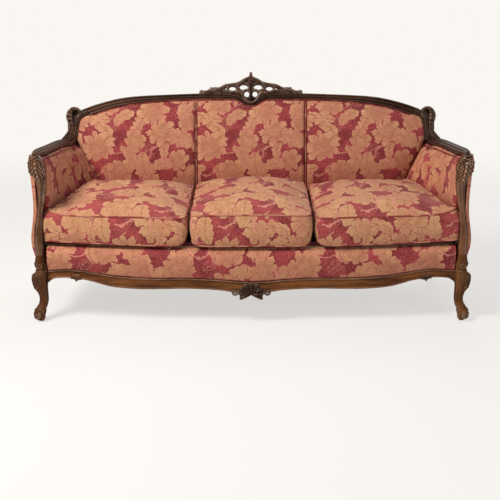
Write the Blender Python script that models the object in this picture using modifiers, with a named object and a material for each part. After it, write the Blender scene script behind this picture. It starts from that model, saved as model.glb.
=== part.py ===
"""Three-seat show-wood sofa: carved walnut frame, stuffed back and arms, three loose box cushions.

Metres, +Z up. The sofa faces -Y and its length runs along X. The origin is on the floor, under the middle
of the footprint. Until the last step the pieces are laid out from the front plane, y = 0, at the corners of
the seat frame.
"""
import math

import bmesh
import bpy
from mathutils import Matrix, Vector

# Clearance between touching pieces, and the distance within which loose points are joined.
GAP = 0.0003
WELD = GAP / 3
SIDES = {"left": -1, "right": 1}
SEATS = {"left": -1, "centre": 0, "right": 1}

# Overall plan. Half sizes run from the middle of the sofa.
HALF_WIDTH = 0.948
SEAT_DEPTH = 0.586
BOW_DEPTH = 0.055
BACK_LEAN = math.radians(11)

# Seat frame.
RAIL_BOTTOM = 0.235
RAIL_HEIGHT = 0.100
RAIL_THICK = 0.028
SIDE_RAIL_THICK = 0.032
SIDE_RAIL_DROP = 0.034
SIDE_ARCH_SHARE = 0.4
BRACE_X = 0.290
BRACE_WIDTH = 0.025
BRACE_HEIGHT = 0.035
BLOCK_SIZE = 0.036
BLOCK_HEIGHT = 0.060

# Legs.
LEG_TOP = 0.300
LEG_WIDTH = 0.052
LEG_DEPTH = 0.060
REAR_LEG_RAKE = 0.070
POST_WIDTH = 0.065
POST_THICK = 0.045
POST_TOP_WIDTH = 0.050
POST_SHOULDER_SHARE = 0.78
POST_NECK_SHARE = 0.86
POST_CHAMFER_SHARE = 0.2

# Show-wood apron and the padded border above it.
APRON_THICK = 0.036
APRON_TOP = 0.236
APRON_HEIGHT = 0.041
APRON_DIP = 0.055
APRON_LAP = 0.030
APRON_ROLL_SHARE = 0.15
BORDER_SWELL = 0.012
DRIP_X = 0.772
DRIP_DEPTH = 0.010
DRIP_HALF_WIDTH = 0.030
CARVED_SHELL_HALF_WIDTH = 0.090
CARVED_SHELL_HEIGHT = 0.080
CARVED_SHELL_THICK = 0.014
CARVED_SHELL_HANG_SHARE = 0.25

# Sprung seat.
BURLAP_THICK = 0.002
DECK_PAD_THICK = 0.018
WEB_WIDTH = 0.050
WEB_THICK = 0.003
WEB_LAP_SHARE = 0.3
WEB_COLUMNS = 9
WEB_ROWS = 2
SPRING_WIRE = 0.0019
SPRING_HALF_WIDTH = 0.024
SPRING_LOOPS = 9
SPRING_COUNT = 6
SPRING_TURN_SHARE = 0.2
SPRING_SEAT = 0.014
DUST_CLOTH_THICK = 0.0015

# Arms.
ARM_TOP = 0.745
ARM_DIP = 0.024
ARM_RAIL_WIDTH = 0.048
ARM_RAIL_THICK = 0.036
ARM_RAIL_RISE_WIDTH = 0.060
ARM_PANEL_THICK = 0.012
ARM_PAD_FRONT = 0.018
ARM_PAD_SWEEP = 0.135
ARM_PAD_TOP_SWEEP = 0.037
ARM_PAD_FULL = 0.510
ARM_PAD_EARLY_SHARE = 0.45
PAD_EASE = 0.003
TACK_RAIL_HEIGHT = 0.050

# Back, measured along its lean from the bottom of the seat frame.
CREST_HEIGHT = 0.711
CREST_THICK = 0.065
CREST_FRONT = 0.020
CREST_ROUND = 0.006
EAR_INSET = 0.077
EAR_DROP = 0.099
EAR_RADIUS = 0.029
EAR_LENGTH = 0.078
EAR_FRONT = 0.045
BACK_RAIL_HEIGHT = 0.045
BACK_RAIL_LEVEL = 0.170
BACK_RAIL_THICK = 0.030
SLAT_WIDTH = 0.050
BACK_PAD_CROWN = 0.064
BACK_PAD_EDGE = 0.020
BACK_PAD_EASE = 0.009
BACK_PAD_INNER_SHARE = 0.30
BACK_PAD_OUTER_SHARE = 0.75
BACK_PAD_EVEN_SHARE = 0.55
BACK_CLOTH_THICK = 0.006
SEAM_X = 0.272
SEAM_CORD_RADIUS = 0.004
CARVING_HALF_WIDTH = 0.255
CARVING_HEIGHT = 0.104
CARVING_THICK = 0.030

# Loose seat cushions.
CUSHION_BOXING = 0.118
CUSHION_CROWN = 0.050
CUSHION_CENTRE_EXTRA = 0.012
CUSHION_BULGE = 0.009
CUSHION_DRAW_IN = 0.005
CUSHION_SIDE_EASE = 0.003
CUSHION_WALL = 0.022
CORE_EASE = 0.0003
CUSHION_CORNER_DROOP = 0.010
CUSHION_CORNER_ROUND = 0.012
CUSHION_BOTTOM_LIFT = 0.007
ZIPPER_LENGTH = 0.300
ZIPPER_HEIGHT = 0.012
ZIPPER_THICK = 0.0055

# Rear face of the front legs and stiles, as a share of their depth.
BACK_FACE_SHARE = 0.78

# Sizes that follow from the ones above.
RAIL_TOP = RAIL_BOTTOM + RAIL_HEIGHT
DECK_LOW = RAIL_TOP + 2 * SPRING_WIRE + 2 * GAP
DECK_TOP = DECK_LOW + BURLAP_THICK + GAP + DECK_PAD_THICK
FRAME_OUTER = HALF_WIDTH - ARM_PANEL_THICK - 2 * GAP
FRAME_INNER = FRAME_OUTER - SIDE_RAIL_THICK
LEG_INNER = HALF_WIDTH + GAP - LEG_WIDTH
FRONT_HALF = LEG_INNER - GAP
RAIL_FRONT = APRON_THICK + GAP
STILE_BACK = BACK_FACE_SHARE * LEG_DEPTH
POST_INNER = FRAME_OUTER - POST_WIDTH
CUSHION_OUTER = FRAME_INNER - GAP - ARM_PAD_FRONT
EAR_X = HALF_WIDTH - EAR_INSET
EAR_HEIGHT = CREST_HEIGHT - EAR_DROP

# Sections of a front leg from the floor up: height as a share of the leg's top height; inner and outer faces
# as shares of the leg's width, from its inner side outwards; front and back faces as shares of its depth.
LEG_SHARES = (
    (0.000, 0.29, 0.83, -0.43, 0.03),
    (0.030, 0.17, 0.94, -0.50, 0.17),
    (0.095, 0.29, 1.17, -0.63, 0.13),
    (0.147, 0.35, 1.29, -0.70, 0.10),
    (0.200, 0.29, 1.04, -0.40, 0.27),
    (0.283, 0.13, 0.83, -0.22, 0.37),
    (0.367, 0.12, 0.84, -0.20, 0.42),
    (0.500, 0.08, 1.11, -0.37, 0.53),
    (0.617, 0.04, 1.27, -0.48, 0.67),
    (0.700, 0.02, 1.29, -0.48, 0.72),
    (0.783, 0.01, 1.19, -0.40, 0.77),
    (0.840, 0.01, 1.02, -0.23, BACK_FACE_SHARE),
    (0.873, 0.01, 1.09, -0.26, BACK_FACE_SHARE),
    (0.917, 0.01, 1.02, -0.20, BACK_FACE_SHARE),
    (1.000, 0.01, 1.06, -0.18, BACK_FACE_SHARE),
)
# Sections of an arm stile from the leg up: height as a share of its length, then faces as for the leg.
STILE_SHARES = (
    (0.000, 0.01, 1.06, -0.18, BACK_FACE_SHARE),
    (0.060, 0.08, 1.17, -0.20, BACK_FACE_SHARE),
    (0.130, 0.13, 1.29, -0.20, BACK_FACE_SHARE),
    (0.245, 0.15, 1.04, -0.12, BACK_FACE_SHARE),
    (0.380, 0.13, 0.75, -0.02, BACK_FACE_SHARE),
    (0.540, 0.02, 0.67, 0.00, BACK_FACE_SHARE),
    (0.710, -0.19, 0.77, -0.05, BACK_FACE_SHARE),
    (0.855, -0.31, 0.90, -0.12, BACK_FACE_SHARE),
    (0.955, -0.35, 0.98, -0.20, BACK_FACE_SHARE),
    (1.000, -0.33, 0.98, -0.20, BACK_FACE_SHARE),
)
# The arm rail's middle line: way back as a share of the seat depth, inward shift as a share of the rail's
# width, and drop as a share of the arm's dip.
ARM_RAIL_SHARES = (
    (-0.026, 0.04, 0.00),
    (0.040, 0.03, 0.00),
    (0.170, 0.00, 0.00),
    (0.427, 0.08, 0.22),
    (0.683, 0.25, 0.70),
    (0.853, 0.40, 1.00),
    (0.965, 0.50, 0.86),
)
# Its rise up the back: inward shift as a share of the rail's width, and rise as a share of the ear's height.
ARM_RISE_SHARES = (
    (0.66, 0.850),
    (0.72, 0.900),
)
# The apron's edges from the middle to the leg: place as a share of the front's half length, and drops of the
# upper and of the lower edge as shares of the apron's dip.
APRON_SHARES = (
    (0.000, 0.80, 1.05), (0.080, 0.74, 0.98), (0.160, 0.62, 0.80), (0.300, 0.52, 0.70), (0.450, 0.56, 0.76),
    (0.570, 0.52, 0.78), (0.690, 0.38, 0.62), (0.800, 0.12, 0.18), (0.890, 0.00, 0.00), (1.000, 0.14, 0.10),
)
# The crest rail's upper and lower edges on the right half: place along X as a share of the ear's place, and
# height as a share of the crest's height.
CREST_UPPER_SHARES = (
    (0.000, 0.944), (0.050, 0.952), (0.090, 0.976), (0.130, 0.990), (0.290, 1.000), (0.450, 0.995),
    (0.645, 0.988), (0.745, 0.975), (0.842, 0.946), (0.915, 0.905), (0.965, 0.868),
)
CREST_LOWER_SHARES = (
    (0.000, 0.908), (0.045, 0.916), (0.090, 0.944), (0.130, 0.955), (0.290, 0.957), (0.450, 0.954),
    (0.645, 0.941), (0.780, 0.916), (0.885, 0.872), (0.965, 0.822),
)
# The carving's upper outline on the right half: shares of its half width and of its height over the crest.
CARVING_SHARES = (
    (1.000, 0.02), (0.990, 0.12), (0.955, 0.14), (0.925, 0.08), (0.870, 0.11), (0.805, 0.22), (0.730, 0.28),
    (0.650, 0.26), (0.585, 0.34), (0.510, 0.40), (0.430, 0.43), (0.350, 0.45), (0.295, 0.44), (0.265, 0.50),
    (0.235, 0.49), (0.175, 0.61), (0.100, 0.73), (0.045, 0.80), (0.040, 0.92), (0.020, 0.99),
)
# Pierced holes: middle along X and height, then half width and half height, as shares of the same sizes.
PIERCING_SHARES = (
    (0.135, 0.290, 0.082, 0.130),
    (0.075, -0.060, 0.052, 0.085),
    (0.360, 0.235, 0.064, 0.095),
    (0.492, 0.225, 0.030, 0.050),
)
# Half outline of the carved shell in the middle of the apron, as shares of its half width and height.
SHELL_SHARES = (
    (0.00, 1.00), (0.20, 0.92), (0.42, 0.96), (0.62, 0.80), (0.84, 0.78), (1.00, 0.60), (0.86, 0.48),
    (0.66, 0.44), (0.50, 0.22), (0.28, 0.14), (0.12, 0.02), (0.00, 0.00),
)
# Turned profile of an ear from its front face backwards: shares of its radius and of its length.
EAR_PROFILE_SHARES = (
    (0.00, 1.00), (0.22, 1.00), (0.36, 0.97), (0.52, 0.93), (0.66, 0.97), (0.88, 0.94), (1.00, 0.84),
    (0.97, 0.20), (0.80, 0.03), (0.00, 0.00),
)
# Sections of a rear leg: height as a share of the seat frame's, width and thickness as shares of the post's.
REAR_LEG_SHARES = (
    (0.00, 0.55, 0.70),
    (0.10, 0.60, 0.78),
    (0.55, 0.68, 0.90),
    (0.88, 1.00, 1.00),
)
# Profile of the padded border: rise as a share of its height, reach as a share of its swell.
BORDER_SHARES = ((0.00, 0.30), (0.25, -0.60), (0.50, -1.00), (0.80, -0.70), (1.00, 0.60))
# Inner side of an arm pad: level as a share of its height, and tuck as a share of its thickness.
ARM_PAD_SHARES = ((0.00, 0.00), (0.20, 0.00), (0.45, 0.00), (0.70, 0.00), (0.88, 0.00), (0.97, 0.35))


def clear_scene():
    """Remove every object, so the script can run again in the same file."""
    for item in list(bpy.data.objects):
        bpy.data.objects.remove(item, do_unlink=True)


def make_collection(name):
    """A collection in the scene, emptied of an earlier run."""
    group = bpy.data.collections.get(name) or bpy.data.collections.new(name)
    if name not in bpy.context.scene.collection.children:
        bpy.context.scene.collection.children.link(group)
    return group


def make_material(name, colour, roughness, metallic=0.0):
    """A Principled material in one colour."""
    material = bpy.data.materials.new(name)
    material.use_nodes = True
    shader = material.node_tree.nodes["Principled BSDF"]
    shader.inputs["Base Color"].default_value = (*colour, 1.0)
    shader.inputs["Roughness"].default_value = roughness
    shader.inputs["Metallic"].default_value = metallic
    return material


clear_scene()
SOFA = make_collection("queen_anne_sofa")
CUTTERS = make_collection("cutters")
FINISHES = {
    "walnut": ((0.095, 0.040, 0.020), 0.36),
    "beech": ((0.42, 0.27, 0.14), 0.60),
    "floral_fabric": ((0.50, 0.18, 0.13), 0.85),
    "welt_fabric": ((0.34, 0.05, 0.06), 0.85),
    "burlap": ((0.38, 0.28, 0.16), 0.95),
    "jute_webbing": ((0.45, 0.34, 0.20), 0.95),
    "foam": ((0.80, 0.74, 0.58), 0.90),
    "dust_cloth": ((0.03, 0.03, 0.03), 0.95),
    "zipper": ((0.25, 0.10, 0.08), 0.60),
}
METALS = {
    "spring_steel": ((0.45, 0.42, 0.38), 0.45),
}


def finish(name, node):
    """The material of one node: its own copy of a finish."""
    metallic = 1.0 if name in METALS else 0.0
    colour, roughness = METALS.get(name) or FINISHES[name]
    return make_material(f"{node}_{name}", colour, roughness, metallic)


def add_object(name, data, finish_name, parent=None):
    """Link a mesh or curve as one named piece of the sofa."""
    item = bpy.data.objects.new(name, data)
    data.materials.append(finish(finish_name, name))
    SOFA.objects.link(item)
    item.parent = parent
    return item


def smooth(mesh, angle=math.radians(35)):
    """Shade a mesh smooth, with its hard edges kept."""
    mesh.shade_smooth()
    mesh.set_sharp_from_angle(angle=angle)


def mix(low, high, share):
    """A value between low and high."""
    return low + (high - low) * share


def follow(table, place):
    """Height at a place on a table of (place, height), on a smooth curve through its points."""
    if place <= table[0][0]:
        return table[0][1]
    for k in range(len(table) - 1):
        (left, low), (right, high) = table[k][:2], table[k + 1][:2]
        if place <= right:
            before = table[max(k - 1, 0)]
            after = table[min(k + 2, len(table) - 1)]
            span = right - left
            slope_in = (high - before[1]) / (right - before[0])
            slope_out = (after[1] - low) / (after[0] - left)
            t = (place - left) / span
            rise = low * (2 * t ** 3 - 3 * t ** 2 + 1) + high * (3 * t ** 2 - 2 * t ** 3)
            return rise + span * (slope_in * (t ** 3 - 2 * t ** 2 + t) + slope_out * (t ** 3 - t ** 2))
    return table[-1][1]


def ring(middle, half_side, half_front, side, front, count=12, power=2.6):
    """A rounded section: count points round a middle, on a superellipse spanned by two directions."""
    points = []
    widest = math.cos(math.pi / count)
    for k in range(count):
        turn = math.tau * (k + 0.5) / count
        c, s = math.cos(turn), math.sin(turn)
        across = math.copysign(abs(c / widest) ** (2 / power), c) * half_side
        along = math.copysign(abs(s / widest) ** (2 / power), s) * half_front
        points.append(middle + side * across + front * along)
    return points


def loft(name, rings, finish_name, parent=None):
    """A closed skin through sections of unlike shape, each with the same number of points."""
    mesh = bpy.data.meshes.new(name)
    bm = bmesh.new()
    layers = [[bm.verts.new(point) for point in points] for points in rings]
    count = len(layers[0])
    for lower, upper in zip(layers, layers[1:]):
        for k in range(count):
            following = (k + 1) % count
            bm.faces.new((lower[k], lower[following], upper[following], upper[k]))
    bm.faces.new(layers[0])
    bm.faces.new(layers[-1])
    bmesh.ops.recalc_face_normals(bm, faces=bm.faces)
    bm.to_mesh(mesh)
    bm.free()
    smooth(mesh)
    return add_object(name, mesh, finish_name, parent)


def block(name, low, high, finish_name, parent=None):
    """A piece that is one box between two corners."""
    mesh = bpy.data.meshes.new(name)
    bm = bmesh.new()
    size = Vector(high) - Vector(low)
    middle = (Vector(high) + Vector(low)) / 2
    bmesh.ops.create_cube(bm, size=1.0, matrix=Matrix.Translation(middle) @ Matrix.Diagonal((*size, 1.0)))
    bm.to_mesh(mesh)
    bm.free()
    return add_object(name, mesh, finish_name, parent)


def board(name, outlines, thick, finish_name, parent=None, rounding=0.0, facing="front"):
    """A flat board from closed outlines. It stands up, facing the front or a side, centred on its plane."""
    curve = bpy.data.curves.new(name, "CURVE")
    curve.dimensions = "2D"
    curve.fill_mode = "BOTH"
    curve.extrude = thick / 2 - rounding
    curve.bevel_depth = rounding
    curve.bevel_resolution = 1 if rounding else 0
    curve.offset = -rounding
    for outline in outlines:
        spline = curve.splines.new("POLY")
        spline.points.add(len(outline) - 1)
        for point, place in zip(spline.points, outline):
            point.co = (*place, 0.0, 1.0)
        spline.use_cyclic_u = True
    holder = bpy.data.objects.new(name, curve)
    CUTTERS.objects.link(holder)
    flat = bpy.data.meshes.new_from_object(holder.evaluated_get(bpy.context.evaluated_depsgraph_get()))
    bpy.data.objects.remove(holder, do_unlink=True)
    bm = bmesh.new()
    bm.from_mesh(flat)
    bmesh.ops.remove_doubles(bm, verts=bm.verts, dist=WELD)
    bmesh.ops.recalc_face_normals(bm, faces=bm.faces)
    bm.to_mesh(flat)
    bm.free()
    flat.name = name
    flat.materials.clear()
    smooth(flat)
    item = add_object(name, flat, finish_name, parent)
    item.rotation_euler = (math.pi / 2, 0, math.pi / 2 if facing == "side" else 0)
    return item


def tube(name, path, radius, finish_name, parent=None):
    """A round cord or wire along a list of points."""
    curve = bpy.data.curves.new(name, "CURVE")
    curve.dimensions = "3D"
    curve.bevel_depth = radius
    curve.bevel_resolution = 1
    curve.use_fill_caps = True
    spline = curve.splines.new("POLY")
    spline.points.add(len(path) - 1)
    for point, place in zip(spline.points, path):
        point.co = (*place, 1.0)
    return add_object(name, curve, finish_name, parent)


def padded_block(name, shape, finish_name, cuts, parent=None):
    """A soft block: a cube cut into a grid, each of whose points is placed by a shape function."""
    mesh = bpy.data.meshes.new(name)
    bm = bmesh.new()
    bmesh.ops.create_cube(bm, size=2.0)
    bmesh.ops.subdivide_edges(bm, edges=bm.edges, cuts=cuts, use_grid_fill=True)
    for vertex in bm.verts:
        vertex.co = shape(*vertex.co)
    bmesh.ops.triangulate(bm, faces=bm.faces, quad_method="FIXED")
    bmesh.ops.recalc_face_normals(bm, faces=bm.faces)
    bm.to_mesh(mesh)
    bm.free()
    smooth(mesh, math.radians(50))
    return add_object(name, mesh, finish_name, parent)


def hide_cutter(cutter):
    """Keep a cutter out of the model."""
    CUTTERS.objects.link(cutter)
    SOFA.objects.unlink(cutter)
    cutter.hide_render = True
    cutter.display_type = "WIRE"


def cut(item, cutter):
    """Take a cutter's volume out of a piece."""
    hide_cutter(cutter)
    trim = item.modifiers.new("cut", "BOOLEAN")
    trim.operation = "DIFFERENCE"
    trim.object = cutter


# Shared lines of the sofa.

def bow_line(x):
    """Front face of the apron: the seat's front bows forward in the middle."""
    return -BOW_DEPTH * (1 - (x / FRONT_HALF) ** 2)


def back_plane(z, depth=0.0):
    """World y of the back frame's front face at a height, moved back by a depth square to it."""
    return SEAT_DEPTH + (z - RAIL_BOTTOM) * math.tan(BACK_LEAN) + depth / math.cos(BACK_LEAN)


def back_point(x, depth, rise):
    """World place of a point given in the back's own frame."""
    y = SEAT_DEPTH + depth * math.cos(BACK_LEAN) + rise * math.sin(BACK_LEAN)
    z = RAIL_BOTTOM - depth * math.sin(BACK_LEAN) + rise * math.cos(BACK_LEAN)
    return Vector((x, y, z))


def along_back(z):
    """Rise along the back for a world height on its front face."""
    return (z - RAIL_BOTTOM) / math.cos(BACK_LEAN)


def crest_upper(x):
    """Upper edge of the crest rail, as rise along the back."""
    return follow(CREST_UPPER_SHARES, abs(x) / EAR_X) * CREST_HEIGHT


def crest_lower(x):
    """Lower edge of the crest rail, as rise along the back."""
    return follow(CREST_LOWER_SHARES, abs(x) / EAR_X) * CREST_HEIGHT


CREST_END = EAR_X - EAR_RADIUS - 2 * GAP


def apron_top(x):
    """Upper edge of the apron, under the padded border."""
    drops = [(place, upper) for place, upper, lower in APRON_SHARES]
    return APRON_TOP - APRON_DIP * follow(drops, abs(x) / FRONT_HALF)


def apron_bottom(x):
    """Lower edge of the apron: serpentine, with a small carved drip near each leg."""
    drops = [(place, lower) for place, upper, lower in APRON_SHARES]
    drip = max(0.0, 1 - abs(abs(x) - DRIP_X) / DRIP_HALF_WIDTH)
    return APRON_TOP - APRON_HEIGHT - APRON_DIP * follow(drops, abs(x) / FRONT_HALF) - DRIP_DEPTH * drip


def arm_rail_drop(y):
    """Height of the arm rail's middle line over a place along the arm."""
    drops = [(place, drop) for place, shift, drop in ARM_RAIL_SHARES]
    return ARM_TOP - ARM_RAIL_THICK / 2 - ARM_DIP * follow(drops, y / SEAT_DEPTH)


def arm_pad_inner(y, z):
    """Inner face of the arm pad: it sweeps inwards to meet the back, less so towards its top."""
    start = STILE_BACK + GAP
    share = min(1.0, max(0.0, (y - start) / (SEAT_DEPTH - start)))
    upper = arm_rail_drop(SEAT_DEPTH)
    flare = min(1.0, max(0.0, (z - ARM_PAD_FULL) / (upper - ARM_PAD_FULL)))
    sweep = mix(ARM_PAD_SWEEP, ARM_PAD_TOP_SWEEP, flare)
    return CUSHION_OUTER - sweep * mix(share ** 2, share, ARM_PAD_EARLY_SHARE)


WEB_DEPTH = WEB_THICK + 2 * GAP
SIDE = Vector((1, 0, 0))
FRONT = Vector((0, 1, 0))
UP = Vector((0, 0, 1))
LEAN_FRONT = Vector((0, math.cos(BACK_LEAN), -math.sin(BACK_LEAN)))

BACK_FRAME = bpy.data.objects.new("back_frame", None)
SOFA.objects.link(BACK_FRAME)
BACK_FRAME.location = (0, SEAT_DEPTH, RAIL_BOTTOM)
BACK_FRAME.rotation_euler = (-BACK_LEAN, 0, 0)


def faces_ring(side, faces, z):
    """A leg or stile section from its inner, outer, front and back faces."""
    inner, outer, front, back = faces
    x = side * (LEG_INNER + LEG_WIDTH * (inner + outer) / 2)
    y = LEG_DEPTH * (front + back) / 2
    half_side = LEG_WIDTH * (outer - inner) / 2
    half_front = LEG_DEPTH * (back - front) / 2
    return ring(Vector((x, y, z)), half_side, half_front, SIDE, FRONT)


def make_front_leg(name, side):
    """Cabriole leg: scroll toe, slim ankle, full knee, and the block that the seat rails meet."""
    rings = [faces_ring(side, faces, height * LEG_TOP) for height, *faces in LEG_SHARES]
    loft(name, rings, "walnut")


def make_arm_stile(name, side):
    """Front post of the arm, from the leg to the underside of the arm rail."""
    foot = LEG_TOP + GAP
    top = ARM_TOP - ARM_RAIL_THICK - 2 * GAP
    rings = [faces_ring(side, faces, mix(foot, top, height)) for height, *faces in STILE_SHARES]
    loft(name, rings, "walnut")


def smooth_path(points, steps):
    """Points on a smooth curve through the given ones."""
    path = []
    for k in range(len(points) - 1):
        before = points[max(k - 1, 0)]
        start, end = points[k], points[k + 1]
        after = points[min(k + 2, len(points) - 1)]
        length = (end - start).length
        slope_in = (end - before) * (length / ((end - start).length + (start - before).length))
        slope_out = (after - start) * (length / ((after - end).length + (end - start).length))
        for step in range(steps):
            t = step / steps
            place = start * (2 * t ** 3 - 3 * t ** 2 + 1) + end * (3 * t ** 2 - 2 * t ** 3)
            path.append(place + slope_in * (t ** 3 - 2 * t ** 2 + t) + slope_out * (t ** 3 - t ** 2))
    path.append(points[-1])
    return path


def make_arm_rail(name, side):
    """Moulded rail: level along the arm, then up the corner of the back to just under the ear."""
    middle = HALF_WIDTH - ARM_RAIL_WIDTH / 2
    points = []
    for place, shift, drop in ARM_RAIL_SHARES:
        y = place * SEAT_DEPTH
        z = ARM_TOP - ARM_RAIL_THICK / 2 - ARM_DIP * drop
        points.append(Vector((side * (middle - shift * ARM_RAIL_WIDTH), y, z)))
    depth = -(ARM_RAIL_THICK / 2 + WEB_DEPTH)
    for shift, rise in ARM_RISE_SHARES:
        points.append(back_point(side * (middle - shift * ARM_RAIL_WIDTH), depth, rise * EAR_HEIGHT))
    top = EAR_HEIGHT - EAR_RADIUS - 2 * GAP
    points.append(back_point(side * (middle - ARM_RISE_SHARES[-1][0] * ARM_RAIL_WIDTH), depth, top))
    path = smooth_path(points, 2)
    rings = []
    for k, place in enumerate(path):
        run = (path[min(k + 1, len(path) - 1)] - path[max(k - 1, 0)]).normalized()
        if k == len(path) - 1:
            run = Vector((0, math.sin(BACK_LEAN), math.cos(BACK_LEAN)))
        rise_share = max(0.0, min(1.0, 2 * (k / (len(path) - 1)) - 1))
        width = mix(ARM_RAIL_WIDTH, ARM_RAIL_RISE_WIDTH, rise_share) / 2
        rings.append(ring(place, width, ARM_RAIL_THICK / 2, SIDE, run.cross(SIDE), 12, 2.8))
    loft(name, rings, "walnut")


def make_ear(name, side):
    """Turned volute at the end of the crest rail, its axis square to the back."""
    mesh = bpy.data.meshes.new(name)
    bm = bmesh.new()
    line = []
    for reach, height in EAR_PROFILE_SHARES:
        line.append(bm.verts.new((reach * EAR_RADIUS, 0.0, height * EAR_LENGTH)))
    for start, end in zip(line, line[1:]):
        bm.edges.new((start, end))
    bm.to_mesh(mesh)
    bm.free()
    ear = add_object(name, mesh, "walnut", BACK_FRAME)
    turned = ear.modifiers.new("turned", "SCREW")
    turned.steps = turned.render_steps = 16
    turned.use_merge_vertices = True
    turned.merge_threshold = WELD
    turned.use_smooth_shade = True
    ear.location = (side * EAR_X, EAR_LENGTH - EAR_FRONT, EAR_HEIGHT)
    ear.rotation_euler = (math.pi / 2, 0, 0)


def spread(low, high, count):
    """Evenly spaced values from low to high."""
    return [mix(low, high, k / (count - 1)) for k in range(count)]


CREST_STATIONS = spread(-CREST_END, CREST_END, 45)
FRONT_STATIONS = spread(-FRONT_HALF, FRONT_HALF, 29)
for drip_side in SIDES.values():
    FRONT_STATIONS += [drip_side * (DRIP_X + k * DRIP_HALF_WIDTH) for k in (-1, 0, 1)]
FRONT_STATIONS.sort()


def make_crest_rail():
    """Arched top rail of the back, dipping in the middle under the carving."""
    upper = [(x, crest_upper(x)) for x in CREST_STATIONS]
    lower = [(x, crest_lower(x)) for x in reversed(CREST_STATIONS)]
    rail = board("crest_rail", [upper + lower], CREST_THICK, "walnut", BACK_FRAME, CREST_ROUND)
    rail.location.y = CREST_THICK / 2 - CREST_FRONT


def ellipse(middle_x, middle_z, half_x, half_z, count=12):
    """Points round an ellipse."""
    turns = [math.tau * k / count for k in range(count)]
    return [(middle_x + half_x * math.cos(turn), middle_z + half_z * math.sin(turn)) for turn in turns]


def make_crest_carving():
    """Pierced cartouche with leaf ends and a finial, standing on the crest rail."""
    half = [(x * CARVING_HALF_WIDTH, CREST_HEIGHT + z * CARVING_HEIGHT) for x, z in CARVING_SHARES]
    seat = [(x, crest_upper(x) + 3 * GAP) for x in CREST_STATIONS if abs(x) < CARVING_HALF_WIDTH]
    outline = half + [(-x, z) for x, z in half[::-1]] + seat
    holes = []
    for x, z, half_x, half_z in PIERCING_SHARES:
        for side in SIDES.values():
            middle = (side * x * CARVING_HALF_WIDTH, CREST_HEIGHT + z * CARVING_HEIGHT)
            holes.append(ellipse(*middle, half_x * CARVING_HALF_WIDTH, half_z * CARVING_HEIGHT))
    carving = board("crest_carving", [outline] + holes, CARVING_THICK, "walnut", BACK_FRAME)
    carving.location.y = CREST_THICK / 2 - CREST_FRONT


def make_rear_post(name, side):
    """Rear leg raking back from the floor, running up as the post of the back."""
    middle = FRAME_OUTER - POST_WIDTH / 2
    rings = []
    for share, width, thick in REAR_LEG_SHARES:
        z = share * RAIL_BOTTOM
        y = SEAT_DEPTH + POST_THICK / 2 + REAR_LEG_RAKE * (1 - share) ** 1.3
        place = Vector((side * middle, y, z))
        rings.append(block_ring(place, width * POST_WIDTH / 2, thick * POST_THICK / 2))
    top = EAR_HEIGHT - EAR_RADIUS - 2 * GAP
    neck = middle - (POST_WIDTH - POST_TOP_WIDTH) / 2
    levels = (
        (GAP, POST_WIDTH, middle),
        (POST_SHOULDER_SHARE * top, POST_WIDTH, middle),
        (POST_NECK_SHARE * top, POST_TOP_WIDTH, neck),
        (top, POST_TOP_WIDTH, neck),
    )
    for rise, width, x in levels:
        centre = back_point(side * x, POST_THICK / 2, rise)
        rings.append(block_ring(centre, width / 2, POST_THICK / 2, LEAN_FRONT))
    loft(name, rings, "walnut")


def block_ring(middle, half_side, half_front, front=FRONT):
    """A rectangular section with chamfered corners."""
    chamfer = POST_CHAMFER_SHARE * min(half_side, half_front)
    corners = []
    for side_sign, front_sign in ((1, 1), (-1, 1), (-1, -1), (1, -1)):
        first = (side_sign * half_side, front_sign * (half_front - chamfer))
        second = (side_sign * (half_side - chamfer), front_sign * half_front)
        pair = (first, second) if side_sign == front_sign else (second, first)
        corners += [middle + SIDE * across + front * along for across, along in pair]
    return corners


def make_front_rail():
    """Bowed front rail of the seat frame, behind the apron and the border."""
    rings = []
    for x in FRONT_STATIONS:
        front = bow_line(x) + RAIL_FRONT
        low = apron_top(x) - APRON_LAP
        section = ((front, low), (front + RAIL_THICK, low), (front + RAIL_THICK, RAIL_TOP), (front, RAIL_TOP))
        rings.append([Vector((x, y, z)) for y, z in section])
    loft("front_seat_rail", rings, "beech")


def make_apron():
    """Serpentine show-wood apron with a rounded moulding along both edges."""
    rings = []
    for x in FRONT_STATIONS:
        front, low, high = bow_line(x), apron_bottom(x), apron_top(x)
        back = front + APRON_THICK
        roll = APRON_ROLL_SHARE * APRON_HEIGHT
        hollow = front + roll / 2
        section = ((back, low), (front + roll, low), (front, low + roll), (hollow, low + 2 * roll),
                   (hollow, high - 2 * roll), (front, high - roll), (front + roll, high), (back, high))
        rings.append([Vector((x, y, z)) for y, z in section])
    loft("front_apron", rings, "walnut")


def make_border():
    """Padded border between the apron and the loose cushions."""
    rings = []
    for x in FRONT_STATIONS:
        front, low, high = bow_line(x), apron_top(x) + GAP, DECK_TOP - GAP
        back = front + APRON_THICK
        section = [(back, low)]
        section += [(front + BORDER_SWELL * reach, mix(low, high, rise)) for rise, reach in BORDER_SHARES]
        section.append((back, high))
        rings.append([Vector((x, y, z)) for y, z in section])
    loft("front_border", rings, "floral_fabric")


def make_apron_carving():
    """Carved shell on the middle of the apron."""
    low = apron_bottom(0) - CARVED_SHELL_HANG_SHARE * CARVED_SHELL_HEIGHT
    half = [(x * CARVED_SHELL_HALF_WIDTH, low + z * CARVED_SHELL_HEIGHT) for x, z in SHELL_SHARES]
    outline = half + [(-x, z) for x, z in half[-2:0:-1]]
    shell = board("apron_carving", [outline], CARVED_SHELL_THICK, "walnut")
    shell.location.y = bow_line(0) - CARVED_SHELL_THICK / 2 - GAP


def rear_edge(z):
    """World y just in front of the back frame at a height."""
    return back_plane(z) - 2 * GAP


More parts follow.
